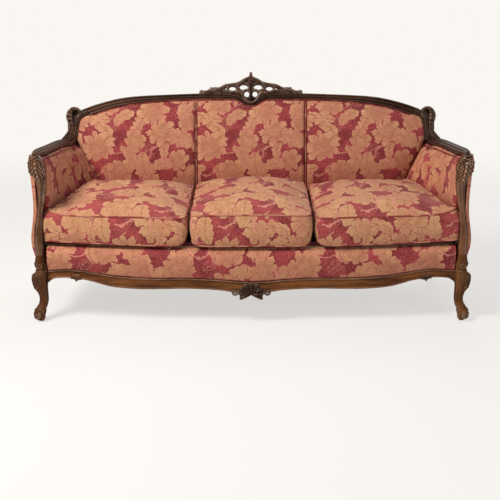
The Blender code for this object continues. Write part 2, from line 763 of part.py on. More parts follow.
def make_side_rail(name, side):
    """Side rail of the seat frame, with a shallow arch along its lower edge."""
    start = STILE_BACK + GAP
    low = RAIL_BOTTOM - SIDE_RAIL_DROP
    end = rear_edge(low)
    lower = []
    for share in spread(0.0, 1.0, 11):
        arch = SIDE_ARCH_SHARE * SIDE_RAIL_DROP * (1 - math.cos(math.tau * share)) / 2
        lower.append((mix(start, end, share), low + arch))
    outline = lower + [(rear_edge(RAIL_TOP), RAIL_TOP), (start, RAIL_TOP)]
    rail = board(name, [outline], SIDE_RAIL_THICK, "walnut", facing="side")
    rail.location.x = side * (FRAME_OUTER - SIDE_RAIL_THICK / 2)


def make_arm_tack_rail(name, side):
    """Lower rail of the arm, on top of the side rail."""
    start, low = STILE_BACK + GAP, RAIL_TOP + GAP
    high = low + TACK_RAIL_HEIGHT
    outline = [(start, low), (rear_edge(low), low), (rear_edge(high), high), (start, high)]
    rail = board(name, [outline], SIDE_RAIL_THICK, "beech", facing="side")
    rail.location.x = side * (FRAME_OUTER - SIDE_RAIL_THICK / 2)


def make_outside_arm(name, side):
    """Flat covered panel on the outside of the arm, from the side rail up to the arm rail."""
    start, low = STILE_BACK + GAP, APRON_TOP
    end = SEAT_DEPTH + POST_THICK
    upper = [(y, arm_rail_drop(y) - ARM_RAIL_THICK / 2 - GAP) for y in spread(end - POST_THICK, start, 9)]
    high = upper[0][1]
    shoulder = high - POST_THICK
    rear = [(back_plane(low, POST_THICK), low), (back_plane(shoulder, POST_THICK), shoulder)]
    panel = board(name, [[(start, low)] + rear + upper], ARM_PANEL_THICK, "floral_fabric", facing="side")
    panel.location.x = side * (HALF_WIDTH - ARM_PANEL_THICK / 2)


def make_inside_arm(name, side):
    """Stuffed arm pad: from behind the stile it sweeps round to the back."""
    start = STILE_BACK + GAP
    outer = FRAME_INNER - GAP
    rings = []
    for share in spread(0.0, 1.0, 9):
        points = []
        top_y = mix(start, SEAT_DEPTH, share)
        under = arm_rail_drop(mix(start, back_plane(ARM_TOP), share))
        high = under - ARM_RAIL_THICK / 2 - PAD_EASE
        low = DECK_TOP + GAP
        for level, tuck in ARM_PAD_SHARES:
            z = mix(low, high, level)
            inner = arm_pad_inner(top_y, z)
            y = mix(start, back_plane(z) - WEB_DEPTH / math.cos(BACK_LEAN), share)
            points.append(Vector((side * mix(inner, outer, tuck), y, z)))
        y_high = mix(start, back_plane(high) - WEB_DEPTH / math.cos(BACK_LEAN), share)
        y_low = mix(start, back_plane(low) - WEB_DEPTH / math.cos(BACK_LEAN), share)
        points += [Vector((side * outer, y_high, high)), Vector((side * outer, y_low, low))]
        rings.append(points)
    loft(name, rings, "floral_fabric")


def sheet(name, low, high, finish_name, half, setback, rear):
    """A flat layer of the seat whose front edge follows the bow."""
    front = [(x, bow_line(x) + setback) for x in spread(-half, half, 13)]
    cloth = board(name, [front + [(half, rear), (-half, rear)]], high - low, finish_name)
    cloth.rotation_euler = (0, 0, 0)
    cloth.location.z = (low + high) / 2


def make_springs():
    """Sinuous springs, hooked on top of the front and the rear rail."""
    pitch = 2 * (POST_INNER - SPRING_HALF_WIDTH) / SPRING_COUNT
    level = RAIL_TOP + GAP + SPRING_WIRE
    for k in range(SPRING_COUNT):
        x = (k - (SPRING_COUNT - 1) / 2) * pitch
        start = bow_line(abs(x) + SPRING_HALF_WIDTH) + RAIL_FRONT + SPRING_SEAT
        end = back_plane(RAIL_TOP) + SPRING_SEAT
        run = (end - start) / (2 * SPRING_LOOPS)
        path = []
        for turn in range(2 * SPRING_LOOPS):
            side = 1 if turn % 2 else -1
            reach = x + side * SPRING_HALF_WIDTH
            y = start + run * turn
            path += [(reach, y + run * share, level) for share in (SPRING_TURN_SHARE, 1 - SPRING_TURN_SHARE)]
        tube(f"seat_spring_{k + 1}", path, SPRING_WIRE, "spring_steel")


def make_deck():
    """Burlap and deck pad over the springs, braces between the rails, and dust cloth below."""
    burlap_top = DECK_LOW + BURLAP_THICK
    deck_rear = rear_edge(DECK_LOW)
    sheet("seat_burlap", DECK_LOW, burlap_top, "burlap", FRONT_HALF, RAIL_FRONT, deck_rear)
    sheet("deck_pad", burlap_top + GAP, DECK_TOP, "floral_fabric", FRONT_HALF, RAIL_FRONT, deck_rear)
    behind = RAIL_FRONT + RAIL_THICK + 2 * GAP
    cloth_top = RAIL_BOTTOM - GAP
    rear = SEAT_DEPTH - 2 * GAP
    sheet("dust_cover", cloth_top - DUST_CLOTH_THICK, cloth_top, "dust_cloth", FRONT_HALF, behind, rear)
    for name, side in SIDES.items():
        low_y = bow_line(BRACE_X + BRACE_WIDTH / 2) + behind
        low = (side * BRACE_X - BRACE_WIDTH / 2, low_y, RAIL_BOTTOM)
        high = (side * BRACE_X + BRACE_WIDTH / 2, rear_edge(RAIL_BOTTOM), RAIL_BOTTOM + BRACE_HEIGHT)
        block(f"seat_cross_rail_{name}", low, high, "beech")


def make_corner_blocks():
    """Glue blocks in the four corners of the seat frame."""
    low_z = RAIL_BOTTOM + (RAIL_HEIGHT - BLOCK_HEIGHT) / 2
    outer = FRAME_INNER - GAP
    places = {"front": RAIL_FRONT + RAIL_THICK + GAP, "rear": rear_edge(low_z) - BLOCK_SIZE}
    for name, side in SIDES.items():
        for end, y in places.items():
            near, far = sorted((side * outer, side * (outer - BLOCK_SIZE)))
            low, high = (near, y, low_z), (far, y + BLOCK_SIZE, low_z + BLOCK_HEIGHT)
            block(f"corner_block_{end}_{name}", low, high, "beech")


def back_pad_outer(rise):
    """Outer edge of the back's stuffing: in front of the arm pad below, beside the ear above."""
    low = along_back(ARM_PAD_FULL)
    high = along_back(arm_rail_drop(SEAT_DEPTH))
    share = min(1.0, max(0.0, (rise - low) / (high - low)))
    swept_in = CUSHION_OUTER - ARM_PAD_SWEEP
    swept_out = CUSHION_OUTER - ARM_PAD_TOP_SWEEP
    return mix(swept_in, swept_out, share) - BACK_PAD_EASE


def back_pad_thickness(across, up, open_side):
    """Stuffing over its webbing: full low down, easing to its edge at the crest and at the outer side."""
    fall = max(0.0, up) ** 3
    edge_loss = BACK_PAD_INNER_SHARE if across * open_side <= 0 else BACK_PAD_OUTER_SHARE
    ease = abs(across) ** 4 * edge_loss
    return mix(BACK_PAD_CROWN, BACK_PAD_EDGE, min(1.0, fall + ease - fall * ease))


def make_back_pads():
    """The three sections of the inside back, and the cords in the two seams between them."""
    bottom = along_back(DECK_TOP) + 2 * GAP
    seam = SEAM_CORD_RADIUS + GAP
    for name, seat in SEATS.items():

        def shape(a, b, c, seat=seat):
            rise = mix(bottom, CREST_HEIGHT, (b + 1) / 2)
            x = mix(a ** 3, a, BACK_PAD_EVEN_SHARE) * (SEAM_X - seam)
            for settle in range(4):
                if seat:
                    inner, outer = SEAM_X + seam, back_pad_outer(rise)
                    x = seat * mix(inner, outer, (a * seat + 1) / 2)
                rise = mix(bottom, crest_lower(x) - BACK_PAD_EASE, (b + 1) / 2)
            thick = back_pad_thickness(a, b, seat)
            depth = -WEB_DEPTH - thick * (1 - c) / 2
            return Vector((x, depth, rise))

        padded_block(f"inside_back_{name}", shape, "floral_fabric", 7, BACK_FRAME)
    for name, side in SIDES.items():
        cord = []
        for up in spread(-1.0, 1.0, 13):
            top = crest_lower(SEAM_X) - SEAM_CORD_RADIUS - 2 * GAP
            rise = mix(bottom + SEAM_CORD_RADIUS, top, (up + 1) / 2)
            thick = back_pad_thickness(1.0, up, 0)
            cord.append((side * SEAM_X, -WEB_DEPTH - thick, rise))
        tube(f"back_welt_{name}", cord, SEAM_CORD_RADIUS, "welt_fabric", BACK_FRAME)


def make_back_frame():
    """Rails, slats and webbing of the back, and the panel on its rear."""
    reach = POST_INNER - GAP
    block("rear_seat_rail", (-reach, 0, 0), (reach, RAIL_THICK, RAIL_HEIGHT), "beech", BACK_FRAME)
    low, high = BACK_RAIL_LEVEL, BACK_RAIL_LEVEL + BACK_RAIL_HEIGHT
    block("back_tack_rail", (-reach, 0, low), (reach, BACK_RAIL_THICK, high), "beech", BACK_FRAME)
    for name, side in SIDES.items():
        middle, half = side * SEAM_X, SLAT_WIDTH / 2
        top = min(crest_lower(middle - half), crest_lower(middle + half)) - 2 * GAP
        near, far = (middle - half, 0, high + GAP), (middle + half, BACK_RAIL_THICK, top)
        block(f"back_slat_{name}", near, far, "beech", BACK_FRAME)
    make_back_webbing(high)
    top = [(x, crest_lower(x) - 2 * GAP) for x in spread(CREST_END, -CREST_END, 31)]
    shoulder = POST_SHOULDER_SHARE * (EAR_HEIGHT - EAR_RADIUS)
    left = [(-FRAME_OUTER, shoulder), (-FRAME_OUTER, 0.0)]
    outline = [(FRAME_OUTER, 0.0), (FRAME_OUTER, shoulder)] + top + left
    panel = board("outside_back", [outline], BACK_CLOTH_THICK, "floral_fabric", BACK_FRAME)
    panel.location.y = POST_THICK + GAP + BACK_CLOTH_THICK / 2


def make_back_webbing(low):
    """Webbing across the back, one sheet of crossing bands tacked to the posts and slats."""
    half = POST_INNER + WEB_LAP_SHARE * POST_WIDTH
    high = along_back(arm_rail_drop(SEAT_DEPTH)) - WEB_WIDTH / 2
    column = (2 * half - WEB_WIDTH) / WEB_COLUMNS
    row = (high - low - WEB_WIDTH) / WEB_ROWS
    holes = []
    for k in range(WEB_COLUMNS):
        for j in range(WEB_ROWS):
            x, z = -half + WEB_WIDTH + k * column, low + WEB_WIDTH + j * row
            right, top = x + column - WEB_WIDTH, z + row - WEB_WIDTH
            holes.append([(x, z), (right, z), (right, top), (x, top)])
    outline = [(-half, low), (half, low), (half, high), (-half, high)]
    webbing = board("back_webbing", [outline] + holes, WEB_THICK, "jute_webbing", BACK_FRAME)
    webbing.location.y = -WEB_THICK / 2 - GAP


def cushion_sides(seat, y):
    """Left and right limits of a cushion at a place along the seat."""
    if seat == 0:
        return -SEAM_X + GAP, SEAM_X - GAP
    outer = arm_pad_inner(y, DECK_TOP) - CUSHION_SIDE_EASE
    return (SEAM_X + GAP, outer) if seat > 0 else (-outer, -SEAM_X - GAP)


def cushion_shape(seat, shrink=0.0):
    """Shape function of one cushion. Shrink draws the whole form in, for what lies inside the cover."""
    boxing = CUSHION_BOXING + (CUSHION_CENTRE_EXTRA if seat == 0 else 0.0)
    lift = CUSHION_BOTTOM_LIFT
    half_width = (FRAME_INNER - SEAM_X) / 2
    half_depth = SEAT_DEPTH / 2

    def shape(a, b, c):
        pinch = CUSHION_BULGE * c * c
        corner = CUSHION_CORNER_ROUND * abs(a * b) ** 6
        draw_a = (CUSHION_DRAW_IN * (1 - b * b) * c * c + pinch + corner + shrink) / half_width
        draw_b = (CUSHION_DRAW_IN * (1 - a * a) * c * c + pinch + corner + shrink) / half_depth
        rear = back_plane(DECK_TOP) - (BACK_PAD_CROWN + WEB_DEPTH + GAP) / math.cos(BACK_LEAN)
        y_guess = mix(bow_line(FRONT_HALF), rear, (b + 1) / 2)
        left, right = cushion_sides(seat, max(0.0, y_guess))
        x = mix(left, right, (a * (1 - draw_a) + 1) / 2)
        y = mix(bow_line(x), rear, (b * (1 - draw_b) + 1) / 2)
        rim = max(abs(a), abs(b)) ** 4
        low = DECK_TOP + GAP + lift * rim + shrink
        dome = (1 - abs(a) ** 2.6) * (1 - abs(b) ** 2.6)
        droop = CUSHION_CORNER_DROOP * (a * b) ** 2
        high = DECK_TOP + boxing - droop + CUSHION_CROWN * dome - shrink
        z = mix(low, high, (c + 1) / 2)
        return Vector((x, y + (z - low) * math.tan(BACK_LEAN) * max(0.0, b) ** 3, z))

    return shape


def make_cushion(name, seat):
    """One loose box cushion: cover, filling, and the zip closer in its rear boxing."""
    cover = padded_block(f"cushion_cover_{name}", cushion_shape(seat), "floral_fabric", 9)
    padded_block(f"cushion_core_{name}", cushion_shape(seat, CUSHION_WALL + CORE_EASE), "foam", 2)
    cut(cover, padded_block(f"cushion_cavity_{name}", cushion_shape(seat, CUSHION_WALL - GAP), "foam", 2))
    rear = cushion_shape(seat)(0.0, 1.0, 0.0)
    half, tall = ZIPPER_LENGTH / 2, ZIPPER_HEIGHT / 2
    low = (rear.x - half - GAP, rear.y - 1.5 * CUSHION_WALL, rear.z - tall - GAP)
    high = (rear.x + half + GAP, rear.y + CUSHION_WALL, rear.z + tall + GAP)
    cut(cover, block(f"zipper_slot_{name}", low, high, "foam"))
    low = (rear.x - half, rear.y - CUSHION_WALL / 2, rear.z - tall)
    high = (rear.x + half, rear.y - CUSHION_WALL / 2 + ZIPPER_THICK, rear.z + tall)
    block(f"cushion_zipper_{name}", low, high, "zipper")


def centre_on_footprint():
    """Shift the whole sofa so that the origin lies under the middle of its depth."""
    bpy.context.view_layer.update()
    graph = bpy.context.evaluated_depsgraph_get()
    reach = []
    for item in SOFA.objects:
        if item.type == "EMPTY":
            continue
        solid = item.evaluated_get(graph)
        mesh = solid.to_mesh()
        reach += [(item.matrix_world @ vertex.co).y for vertex in mesh.vertices]
        solid.to_mesh_clear()
    shift = (min(reach) + max(reach)) / 2
    for item in list(SOFA.objects) + list(CUTTERS.objects):
        if item.parent is None:
            item.location.y -= shift
    bpy.context.view_layer.update()


for side_name, side_sign in SIDES.items():
    make_front_leg(f"front_leg_{side_name}", side_sign)
    make_arm_stile(f"arm_stile_{side_name}", side_sign)
    make_arm_rail(f"arm_rail_{side_name}", side_sign)
    make_ear(f"ear_scroll_{side_name}", side_sign)
    make_rear_post(f"rear_leg_post_{side_name}", side_sign)
    make_arm_tack_rail(f"arm_tack_rail_{side_name}", side_sign)
    make_inside_arm(f"inside_arm_{side_name}", side_sign)
    make_outside_arm(f"outside_arm_{side_name}", side_sign)
    make_side_rail(f"side_seat_rail_{side_name}", side_sign)
make_corner_blocks()
make_crest_rail()
make_crest_carving()
make_front_rail()
make_apron()
make_apron_carving()
make_border()
make_springs()
make_deck()
make_back_frame()
make_back_pads()
for seat_name, seat_sign in SEATS.items():
    make_cushion(seat_name, seat_sign)
centre_on_footprint()
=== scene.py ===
"""Looks of the carved show-wood sofa: walnut frame, floral woven cover, loose cushions.

Shapes are worked out in the sofa's layout frame, where y = 0 is the front plane at the corners of the seat
frame. add_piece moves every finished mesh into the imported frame.
"""
import math

import bmesh
import bpy
import numpy as np
from mathutils import Matrix, Vector, noise


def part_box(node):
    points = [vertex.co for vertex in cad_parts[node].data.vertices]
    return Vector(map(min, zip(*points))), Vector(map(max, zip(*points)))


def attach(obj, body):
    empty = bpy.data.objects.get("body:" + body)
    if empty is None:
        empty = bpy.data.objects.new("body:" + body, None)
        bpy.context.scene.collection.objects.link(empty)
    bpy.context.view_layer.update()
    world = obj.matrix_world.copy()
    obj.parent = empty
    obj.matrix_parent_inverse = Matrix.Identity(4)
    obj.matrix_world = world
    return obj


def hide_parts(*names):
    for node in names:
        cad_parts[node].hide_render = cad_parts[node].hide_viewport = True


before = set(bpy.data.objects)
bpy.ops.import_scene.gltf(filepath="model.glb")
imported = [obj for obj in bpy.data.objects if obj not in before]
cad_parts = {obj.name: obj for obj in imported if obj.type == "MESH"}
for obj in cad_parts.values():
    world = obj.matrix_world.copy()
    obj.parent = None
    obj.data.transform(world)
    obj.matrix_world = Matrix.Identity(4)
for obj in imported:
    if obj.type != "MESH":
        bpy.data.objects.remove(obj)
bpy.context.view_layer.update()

# Driving sizes of the frame, in metres.
GAP = 0.0003
SIDES = {"left": -1, "right": 1}
SEATS = {"left": -1, "centre": 0, "right": 1}
HALF_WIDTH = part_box("outside_arm_right")[1].x
SEAT_DEPTH = 0.586
BOW_DEPTH = 0.055
BACK_LEAN = math.radians(11)
RAIL_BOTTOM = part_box("seat_cross_rail_left")[0].z
RAIL_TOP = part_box("front_seat_rail")[1].z
DECK_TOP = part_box("deck_pad")[1].z
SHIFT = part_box("rear_seat_rail")[0].y - SEAT_DEPTH
FRAME_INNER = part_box("side_seat_rail_right")[0].x
FRONT_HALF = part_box("front_apron")[1].x
STILE_BACK = 0.0468
APRON_THICK = 0.036
APRON_TOP = 0.236
APRON_HEIGHT = 0.041
APRON_DIP = 0.055
DRIP_X = 0.772
DRIP_DEPTH = 0.010
DRIP_HALF_WIDTH = 0.030
BORDER_SWELL = 0.012
ARM_TOP = 0.745
ARM_DIP = 0.024
ARM_RAIL_WIDTH = 0.048
ARM_RAIL_THICK = 0.036
ARM_PANEL_THICK = 0.012
ARM_PAD_FRONT = 0.018
ARM_PAD_SWEEP = 0.117
ARM_PAD_TOP_SWEEP = 0.022
ARM_PAD_FULL = 0.510
ARM_PAD_EARLY_SHARE = 0.45
CREST_HEIGHT = 0.711
CREST_THICK = 0.065
CREST_FRONT = 0.020
EAR_X = 0.871
EAR_HEIGHT = 0.612
EAR_RADIUS = 0.029
EAR_LENGTH = 0.078
EAR_FRONT = 0.045
CREST_END = EAR_X - EAR_RADIUS - 2 * GAP
POST_THICK = 0.045
BACK_PAD_CROWN = 0.064
BACK_PAD_EDGE = 0.020
BACK_PAD_EASE = 0.009
BACK_PAD_INNER_SHARE = 0.30
BACK_PAD_OUTER_SHARE = 0.75
BACK_CLOTH_THICK = 0.006
SEAM_X = 0.272
SEAM_CORD_RADIUS = 0.0030
WEB_DEPTH = 0.0036
CARVING_HALF_WIDTH = 0.255
CARVING_HEIGHT = 0.104
CUSHION_BOXING = 0.118
CUSHION_CENTRE_EXTRA = 0.012
CUSHION_OUTER = FRAME_INNER - GAP - ARM_PAD_FRONT
FRAME_OUTER = HALF_WIDTH - ARM_PANEL_THICK - 2 * GAP
WELT_RADIUS = 0.0037

# Sections of a front leg as carved: height, inner and outer faces across, front and back faces.
LEG_FORM = (
    (0.000, 0.9270, 0.9440, -0.020, 0.002), (0.006, 0.9235, 0.9530, -0.028, 0.006),
    (0.014, 0.9205, 0.9610, -0.034, 0.008), (0.026, 0.9180, 0.9665, -0.038, 0.008),
    (0.038, 0.9160, 0.9680, -0.040, 0.008), (0.050, 0.9135, 0.9655, -0.037, 0.010),
    (0.062, 0.9100, 0.9580, -0.029, 0.013), (0.074, 0.9065, 0.9485, -0.020, 0.018),
    (0.090, 0.9040, 0.9435, -0.014, 0.022), (0.110, 0.9035, 0.9440, -0.013, 0.025),
    (0.130, 0.9040, 0.9495, -0.017, 0.028), (0.155, 0.9040, 0.9570, -0.023, 0.033),
    (0.180, 0.9020, 0.9625, -0.028, 0.039), (0.200, 0.9000, 0.9635, -0.029, 0.043),
    (0.212, 0.8988, 0.9600, -0.027, 0.045), (0.222, 0.8980, 0.9545, -0.022, 0.0468),
    (0.232, 0.8980, 0.9510, -0.016, 0.0468), (0.245, 0.8980, 0.9515, -0.015, 0.0468),
    (0.262, 0.8985, 0.9540, -0.017, 0.0468), (0.282, 0.9010, 0.9520, -0.015, 0.0468),
    (0.300, 0.9045, 0.9470, -0.012, 0.0468), (0.316, 0.9110, 0.9420, -0.006, 0.0450),
)
# Sections of an arm stile, in the same way.
STILE_FORM = (
    (0.276, 0.9090, 0.9440, -0.008, 0.0450), (0.298, 0.9050, 0.9466, -0.012, 0.0468),
    (0.318, 0.9070, 0.9470, -0.013, 0.0468), (0.345, 0.9092, 0.9492, -0.014, 0.0468),
    (0.375, 0.9112, 0.9497, -0.012, 0.0468), (0.405, 0.9120, 0.9465, -0.009, 0.0468),
    (0.436, 0.9112, 0.9412, -0.006, 0.0468), (0.475, 0.9065, 0.9335, -0.003, 0.0468),
    (0.511, 0.9005, 0.9265, -0.001, 0.0468), (0.540, 0.8950, 0.9225, 0.000, 0.0468),
    (0.570, 0.8890, 0.9215, -0.002, 0.0468), (0.604, 0.8845, 0.9225, -0.004, 0.0468),
    (0.632, 0.8825, 0.9275, -0.006, 0.0468), (0.652, 0.8815, 0.9360, -0.009, 0.0468),
    (0.672, 0.8812, 0.9440, -0.012, 0.0468), (0.692, 0.8820, 0.9480, -0.012, 0.0468),
    (0.718, 0.8880, 0.9495, -0.010, 0.0468), (0.740, 0.9060, 0.9480, -0.011, 0.0400),
)
# Outer outline of the arm's front above the apron: height, and place across.
ARM_OUTLINE = (
    (0.236, 0.9475), (0.270, 0.9500), (0.300, 0.9570), (0.330, 0.9645), (0.368, 0.9665),
    (0.405, 0.9620), (0.440, 0.9555), (0.480, 0.9495), (0.525, 0.9465), (0.565, 0.9470),
    (0.605, 0.9490), (0.650, 0.9515), (0.700, 0.9540), (0.745, 0.9540),
)
# Middle line of the arm rail: place along the arm, shift inwards in rail widths, and drop in arm dips.
ARM_RAIL_SHARES = (
    (-0.030, 0.14, -0.80), (0.040, 0.06, -0.66), (0.170, -0.03, -0.30), (0.427, 0.06, 0.00),
    (0.683, 0.25, 0.18), (0.853, 0.40, 0.48), (0.965, 0.52, 0.82),
)
# The apron's edges: place from the middle to its end, and how far its upper and lower edge sink.
APRON_SHARES = (
    (0.000, 0.80, 1.05), (0.080, 0.74, 0.98), (0.160, 0.62, 0.80), (0.300, 0.52, 0.70),
    (0.450, 0.56, 0.76), (0.570, 0.52, 0.78), (0.690, 0.38, 0.62), (0.800, 0.12, 0.18),
    (0.890, 0.00, 0.00), (1.000, 0.14, 0.10),
)
# The crest rail's edges: place from the middle to the ear, and share of the back's height.
CREST_UPPER_SHARES = (
    (0.000, 0.936), (0.030, 0.940), (0.060, 0.962), (0.090, 0.984), (0.130, 0.996), (0.290, 1.000),
    (0.450, 0.994), (0.645, 0.983), (0.745, 0.969), (0.842, 0.942), (0.915, 0.915), (0.965, 0.892),
)
CREST_LOWER_SHARES = (
    (0.000, 0.912), (0.030, 0.918), (0.058, 0.938), (0.080, 0.952), (0.110, 0.957), (0.290, 0.956),
    (0.450, 0.951), (0.645, 0.931), (0.780, 0.902), (0.885, 0.860), (0.965, 0.822),
)


def mix(low, high, share):
    """A value between low and high."""
    return low + (high - low) * share


def clip(value):
    """A value kept between 0 and 1."""
    return min(1.0, max(0.0, value))


def ease(share):
    """A share that starts and ends softly."""
    return share * share * (3 - 2 * share)


def spread(low, high, count):
    """Evenly spaced values from low to high."""
    return [mix(low, high, k / (count - 1)) for k in range(count)]


def turns_round(count):
    """Directions spaced evenly round a circle."""
    return [math.tau * k / count for k in range(count)]


def bend_between(start, end, slope_in, slope_out, t):
    """A place on the smooth curve from start to end with these slopes."""
    place = start * (2 * t ** 3 - 3 * t ** 2 + 1) + end * (3 * t ** 2 - 2 * t ** 3)
    return place + slope_in * (t ** 3 - 2 * t ** 2 + t) + slope_out * (t ** 3 - t ** 2)


def follow(table, place):
    """Height at a place on a table of (place, height), on a smooth curve through its points."""
    if place <= table[0][0]:
        return table[0][1]
    for k in range(len(table) - 1):
        (left, low), (right, high) = table[k][:2], table[k + 1][:2]
        if place <= right:
            before, after = table[max(k - 1, 0)], table[min(k + 2, len(table) - 1)]
            span = right - left
            slope_in = (high - before[1]) / (right - before[0])
            slope_out = (after[1] - low) / (after[0] - left)
            return bend_between(low, high, span * slope_in, span * slope_out, (place - left) / span)
    return table[-1][1]


def smooth_path(points, steps):
    """Points on a smooth curve through the given ones."""
    path = []
    for k in range(len(points) - 1):
        before, start = points[max(k - 1, 0)], points[k]
        end, after = points[k + 1], points[min(k + 2, len(points) - 1)]
        length = (end - start).length
        slope_in = (end - before) * (length / (length + (start - before).length))
        slope_out = (after - start) * (length / ((after - end).length + length))
        path += [bend_between(start, end, slope_in, slope_out, step / steps) for step in range(steps)]
    return path + [points[-1]]


def window(value, low, high, soft):
    """1 between two places, falling off smoothly outside them."""
    return ease(clip((value - low) / soft + 0.5)) * ease(clip((high - value) / soft + 0.5))


def bump_at(value, middle, width):
    """A bell of height 1."""
    return math.exp(-((value - middle) / width) ** 2)


def turn_apart(a, b):
    """Angle from b to a, between -pi and pi."""
    return (a - b + math.pi) % math.tau - math.pi


def superellipse(turn, power=2.6):
    """A point on the unit superellipse."""
    c, s = math.cos(turn), math.sin(turn)
    return math.copysign(abs(c) ** (2 / power), c), math.copysign(abs(s) ** (2 / power), s)


def bow_line(x):
    """Front face of the apron: the seat's front bows forward in the middle."""
    return -BOW_DEPTH * (1 - (x / FRONT_HALF) ** 2)


def back_point(x, depth, rise):
    """Layout place of a point given in the back's own frame."""
    y = SEAT_DEPTH + depth * math.cos(BACK_LEAN) + rise * math.sin(BACK_LEAN)
    z = RAIL_BOTTOM - depth * math.sin(BACK_LEAN) + rise * math.cos(BACK_LEAN)
    return Vector((x, y, z))


def back_plane(z, depth=0.0):
    """Layout y of the back frame's front face at a height, moved back by a depth square to it."""
    return SEAT_DEPTH + (z - RAIL_BOTTOM) * math.tan(BACK_LEAN) + depth / math.cos(BACK_LEAN)


def along_back(z):
    """Rise along the back for a height on its front face."""
    return (z - RAIL_BOTTOM) / math.cos(BACK_LEAN)


def crest_upper(x):
    """Upper edge of the crest rail, as rise along the back."""
    return follow(CREST_UPPER_SHARES, abs(x) / EAR_X) * CREST_HEIGHT


def crest_lower(x):
    """Lower edge of the crest rail, as rise along the back."""
    return follow(CREST_LOWER_SHARES, abs(x) / EAR_X) * CREST_HEIGHT


APRON_UPPER = [(place, upper) for place, upper, lower in APRON_SHARES]
APRON_LOWER = [(place, lower) for place, upper, lower in APRON_SHARES]
ARM_DROPS = [(place, drop) for place, shift, drop in ARM_RAIL_SHARES]


def apron_top(x):
    """Upper edge of the apron."""
    return APRON_TOP - APRON_DIP * follow(APRON_UPPER, abs(x) / FRONT_HALF)


def apron_bottom(x):
    """Lower edge of the apron, with its small drips."""
    drip = max(0.0, 1 - abs(abs(x) - DRIP_X) / DRIP_HALF_WIDTH)
    return APRON_TOP - APRON_HEIGHT - APRON_DIP * follow(APRON_LOWER, abs(x) / FRONT_HALF) - DRIP_DEPTH * drip


def arm_rail_middle(y):
    """Height of the arm rail's middle line over a place along the arm."""
    return ARM_TOP - ARM_RAIL_THICK / 2 - ARM_DIP * follow(ARM_DROPS, y / SEAT_DEPTH)


def arm_pad_inner(y, z):
    """Inner face of the arm pad: it sweeps inwards to meet the back, less so towards its top."""
    start = STILE_BACK + GAP
    share = clip((y - start) / (SEAT_DEPTH - start))
    flare = clip((z - ARM_PAD_FULL) / (arm_rail_middle(SEAT_DEPTH) - ARM_PAD_FULL))
    sweep = mix(ARM_PAD_SWEEP, ARM_PAD_TOP_SWEEP, flare)
    return CUSHION_OUTER - sweep * mix(share ** 2, share, ARM_PAD_EARLY_SHARE)


def back_pad_outer(rise):
    """Outer edge of the back's stuffing."""
    low, high = along_back(ARM_PAD_FULL), along_back(arm_rail_middle(SEAT_DEPTH))
    sweep = mix(ARM_PAD_SWEEP, ARM_PAD_TOP_SWEEP, clip((rise - low) / (high - low)))
    return CUSHION_OUTER - sweep - BACK_PAD_EASE


# Materials.

REPEAT_WIDTH = 0.544
REPEAT_HEIGHT = 0.600
CLOTH_MAP = "cloth"


class Graph:
    """Short calls that add nodes to one node tree."""

    def __init__(self, tree):
        self.tree = tree

    def node(self, kind, inputs=(), **settings):
        made = self.tree.nodes.new(kind)
        for key, value in settings.items():
            setattr(made, key, value)
        for key, value in dict(inputs).items():
            self.feed(made.inputs[key], value)
        return made

    def feed(self, socket, value):
        if isinstance(value, bpy.types.NodeSocket):
            self.tree.links.new(value, socket)
        elif value is not None:
            socket.default_value = value

    def math(self, operation, *values):
        return self.node("ShaderNodeMath", enumerate(values), operation=operation).outputs[0]

    def times(self, a, b):
        return self.math("MULTIPLY", a, b)

    def plus(self, a, b):
        return self.math("ADD", a, b)

    def less(self, a, b):
        return self.math("SUBTRACT", a, b)

    def fused(self, a, b, c):
        """a times b, plus c."""
        return self.math("MULTIPLY_ADD", a, b, c)

    def most(self, first, *others):
        for other in others:
            first = self.math("MAXIMUM", first, other)
        return first

    def apart(self, a, b):
        """Distance between two values."""
        return self.math("ABSOLUTE", self.less(a, b))

    def wave(self, value, kind="COSINE"):
        """Size of a sine or cosine."""
        return self.math("ABSOLUTE", self.math(kind, value))

    def vector(self, operation, *values, output=0):
        return self.node("ShaderNodeVectorMath", enumerate(values), operation=operation).outputs[output]

    def stretch(self, vector, *scale):
        return self.vector("MULTIPLY", vector, scale)

    def split(self, vector):
        return self.node("ShaderNodeSeparateXYZ", {0: vector}).outputs

    def place(self):
        """Coordinates on the object, in metres."""
        return self.node("ShaderNodeTexCoord").outputs["Object"]

    def step(self, value, low, high, to_low=0.0, to_high=1.0):
        """A smooth step from to_low to to_high as value goes from low to high."""
        names = {"Value": value, "From Min": low, "From Max": high, "To Min": to_low, "To Max": to_high}
        return self.node("ShaderNodeMapRange", names, interpolation_type="SMOOTHSTEP").outputs["Result"]

    def mix(self, share, low, high, blend="MIX"):
        """A colour between low and high."""
        made = self.node("ShaderNodeMix", data_type="RGBA", blend_type=blend)
        for key, value in ((0, share), (6, low), (7, high)):
            self.feed(made.inputs[key], (*value, 1.0) if isinstance(value, tuple) else value)
        return made.outputs[2]

    def dye(self, colour, *parts):
        """A colour multiplied by three parts."""
        tint = self.node("ShaderNodeCombineColor", enumerate(parts)).outputs[0]
        return self.mix(1.0, colour, tint, "MULTIPLY")

    def noise(self, vector, scale, detail=2.0, rough=0.5, output="Fac"):
        names = {"Vector": vector, "Scale": scale, "Detail": detail, "Roughness": rough}
        return self.node("ShaderNodeTexNoise", names, noise_dimensions="3D").outputs[output]


MOTIF_SOCKETS = {"Vector": "Vector", "Centre": "Vector", "Turn": "Float", "Size": "Float", "Form": "Float"}
SOFT_EDGE = 0.0012
HALO = 0.0026


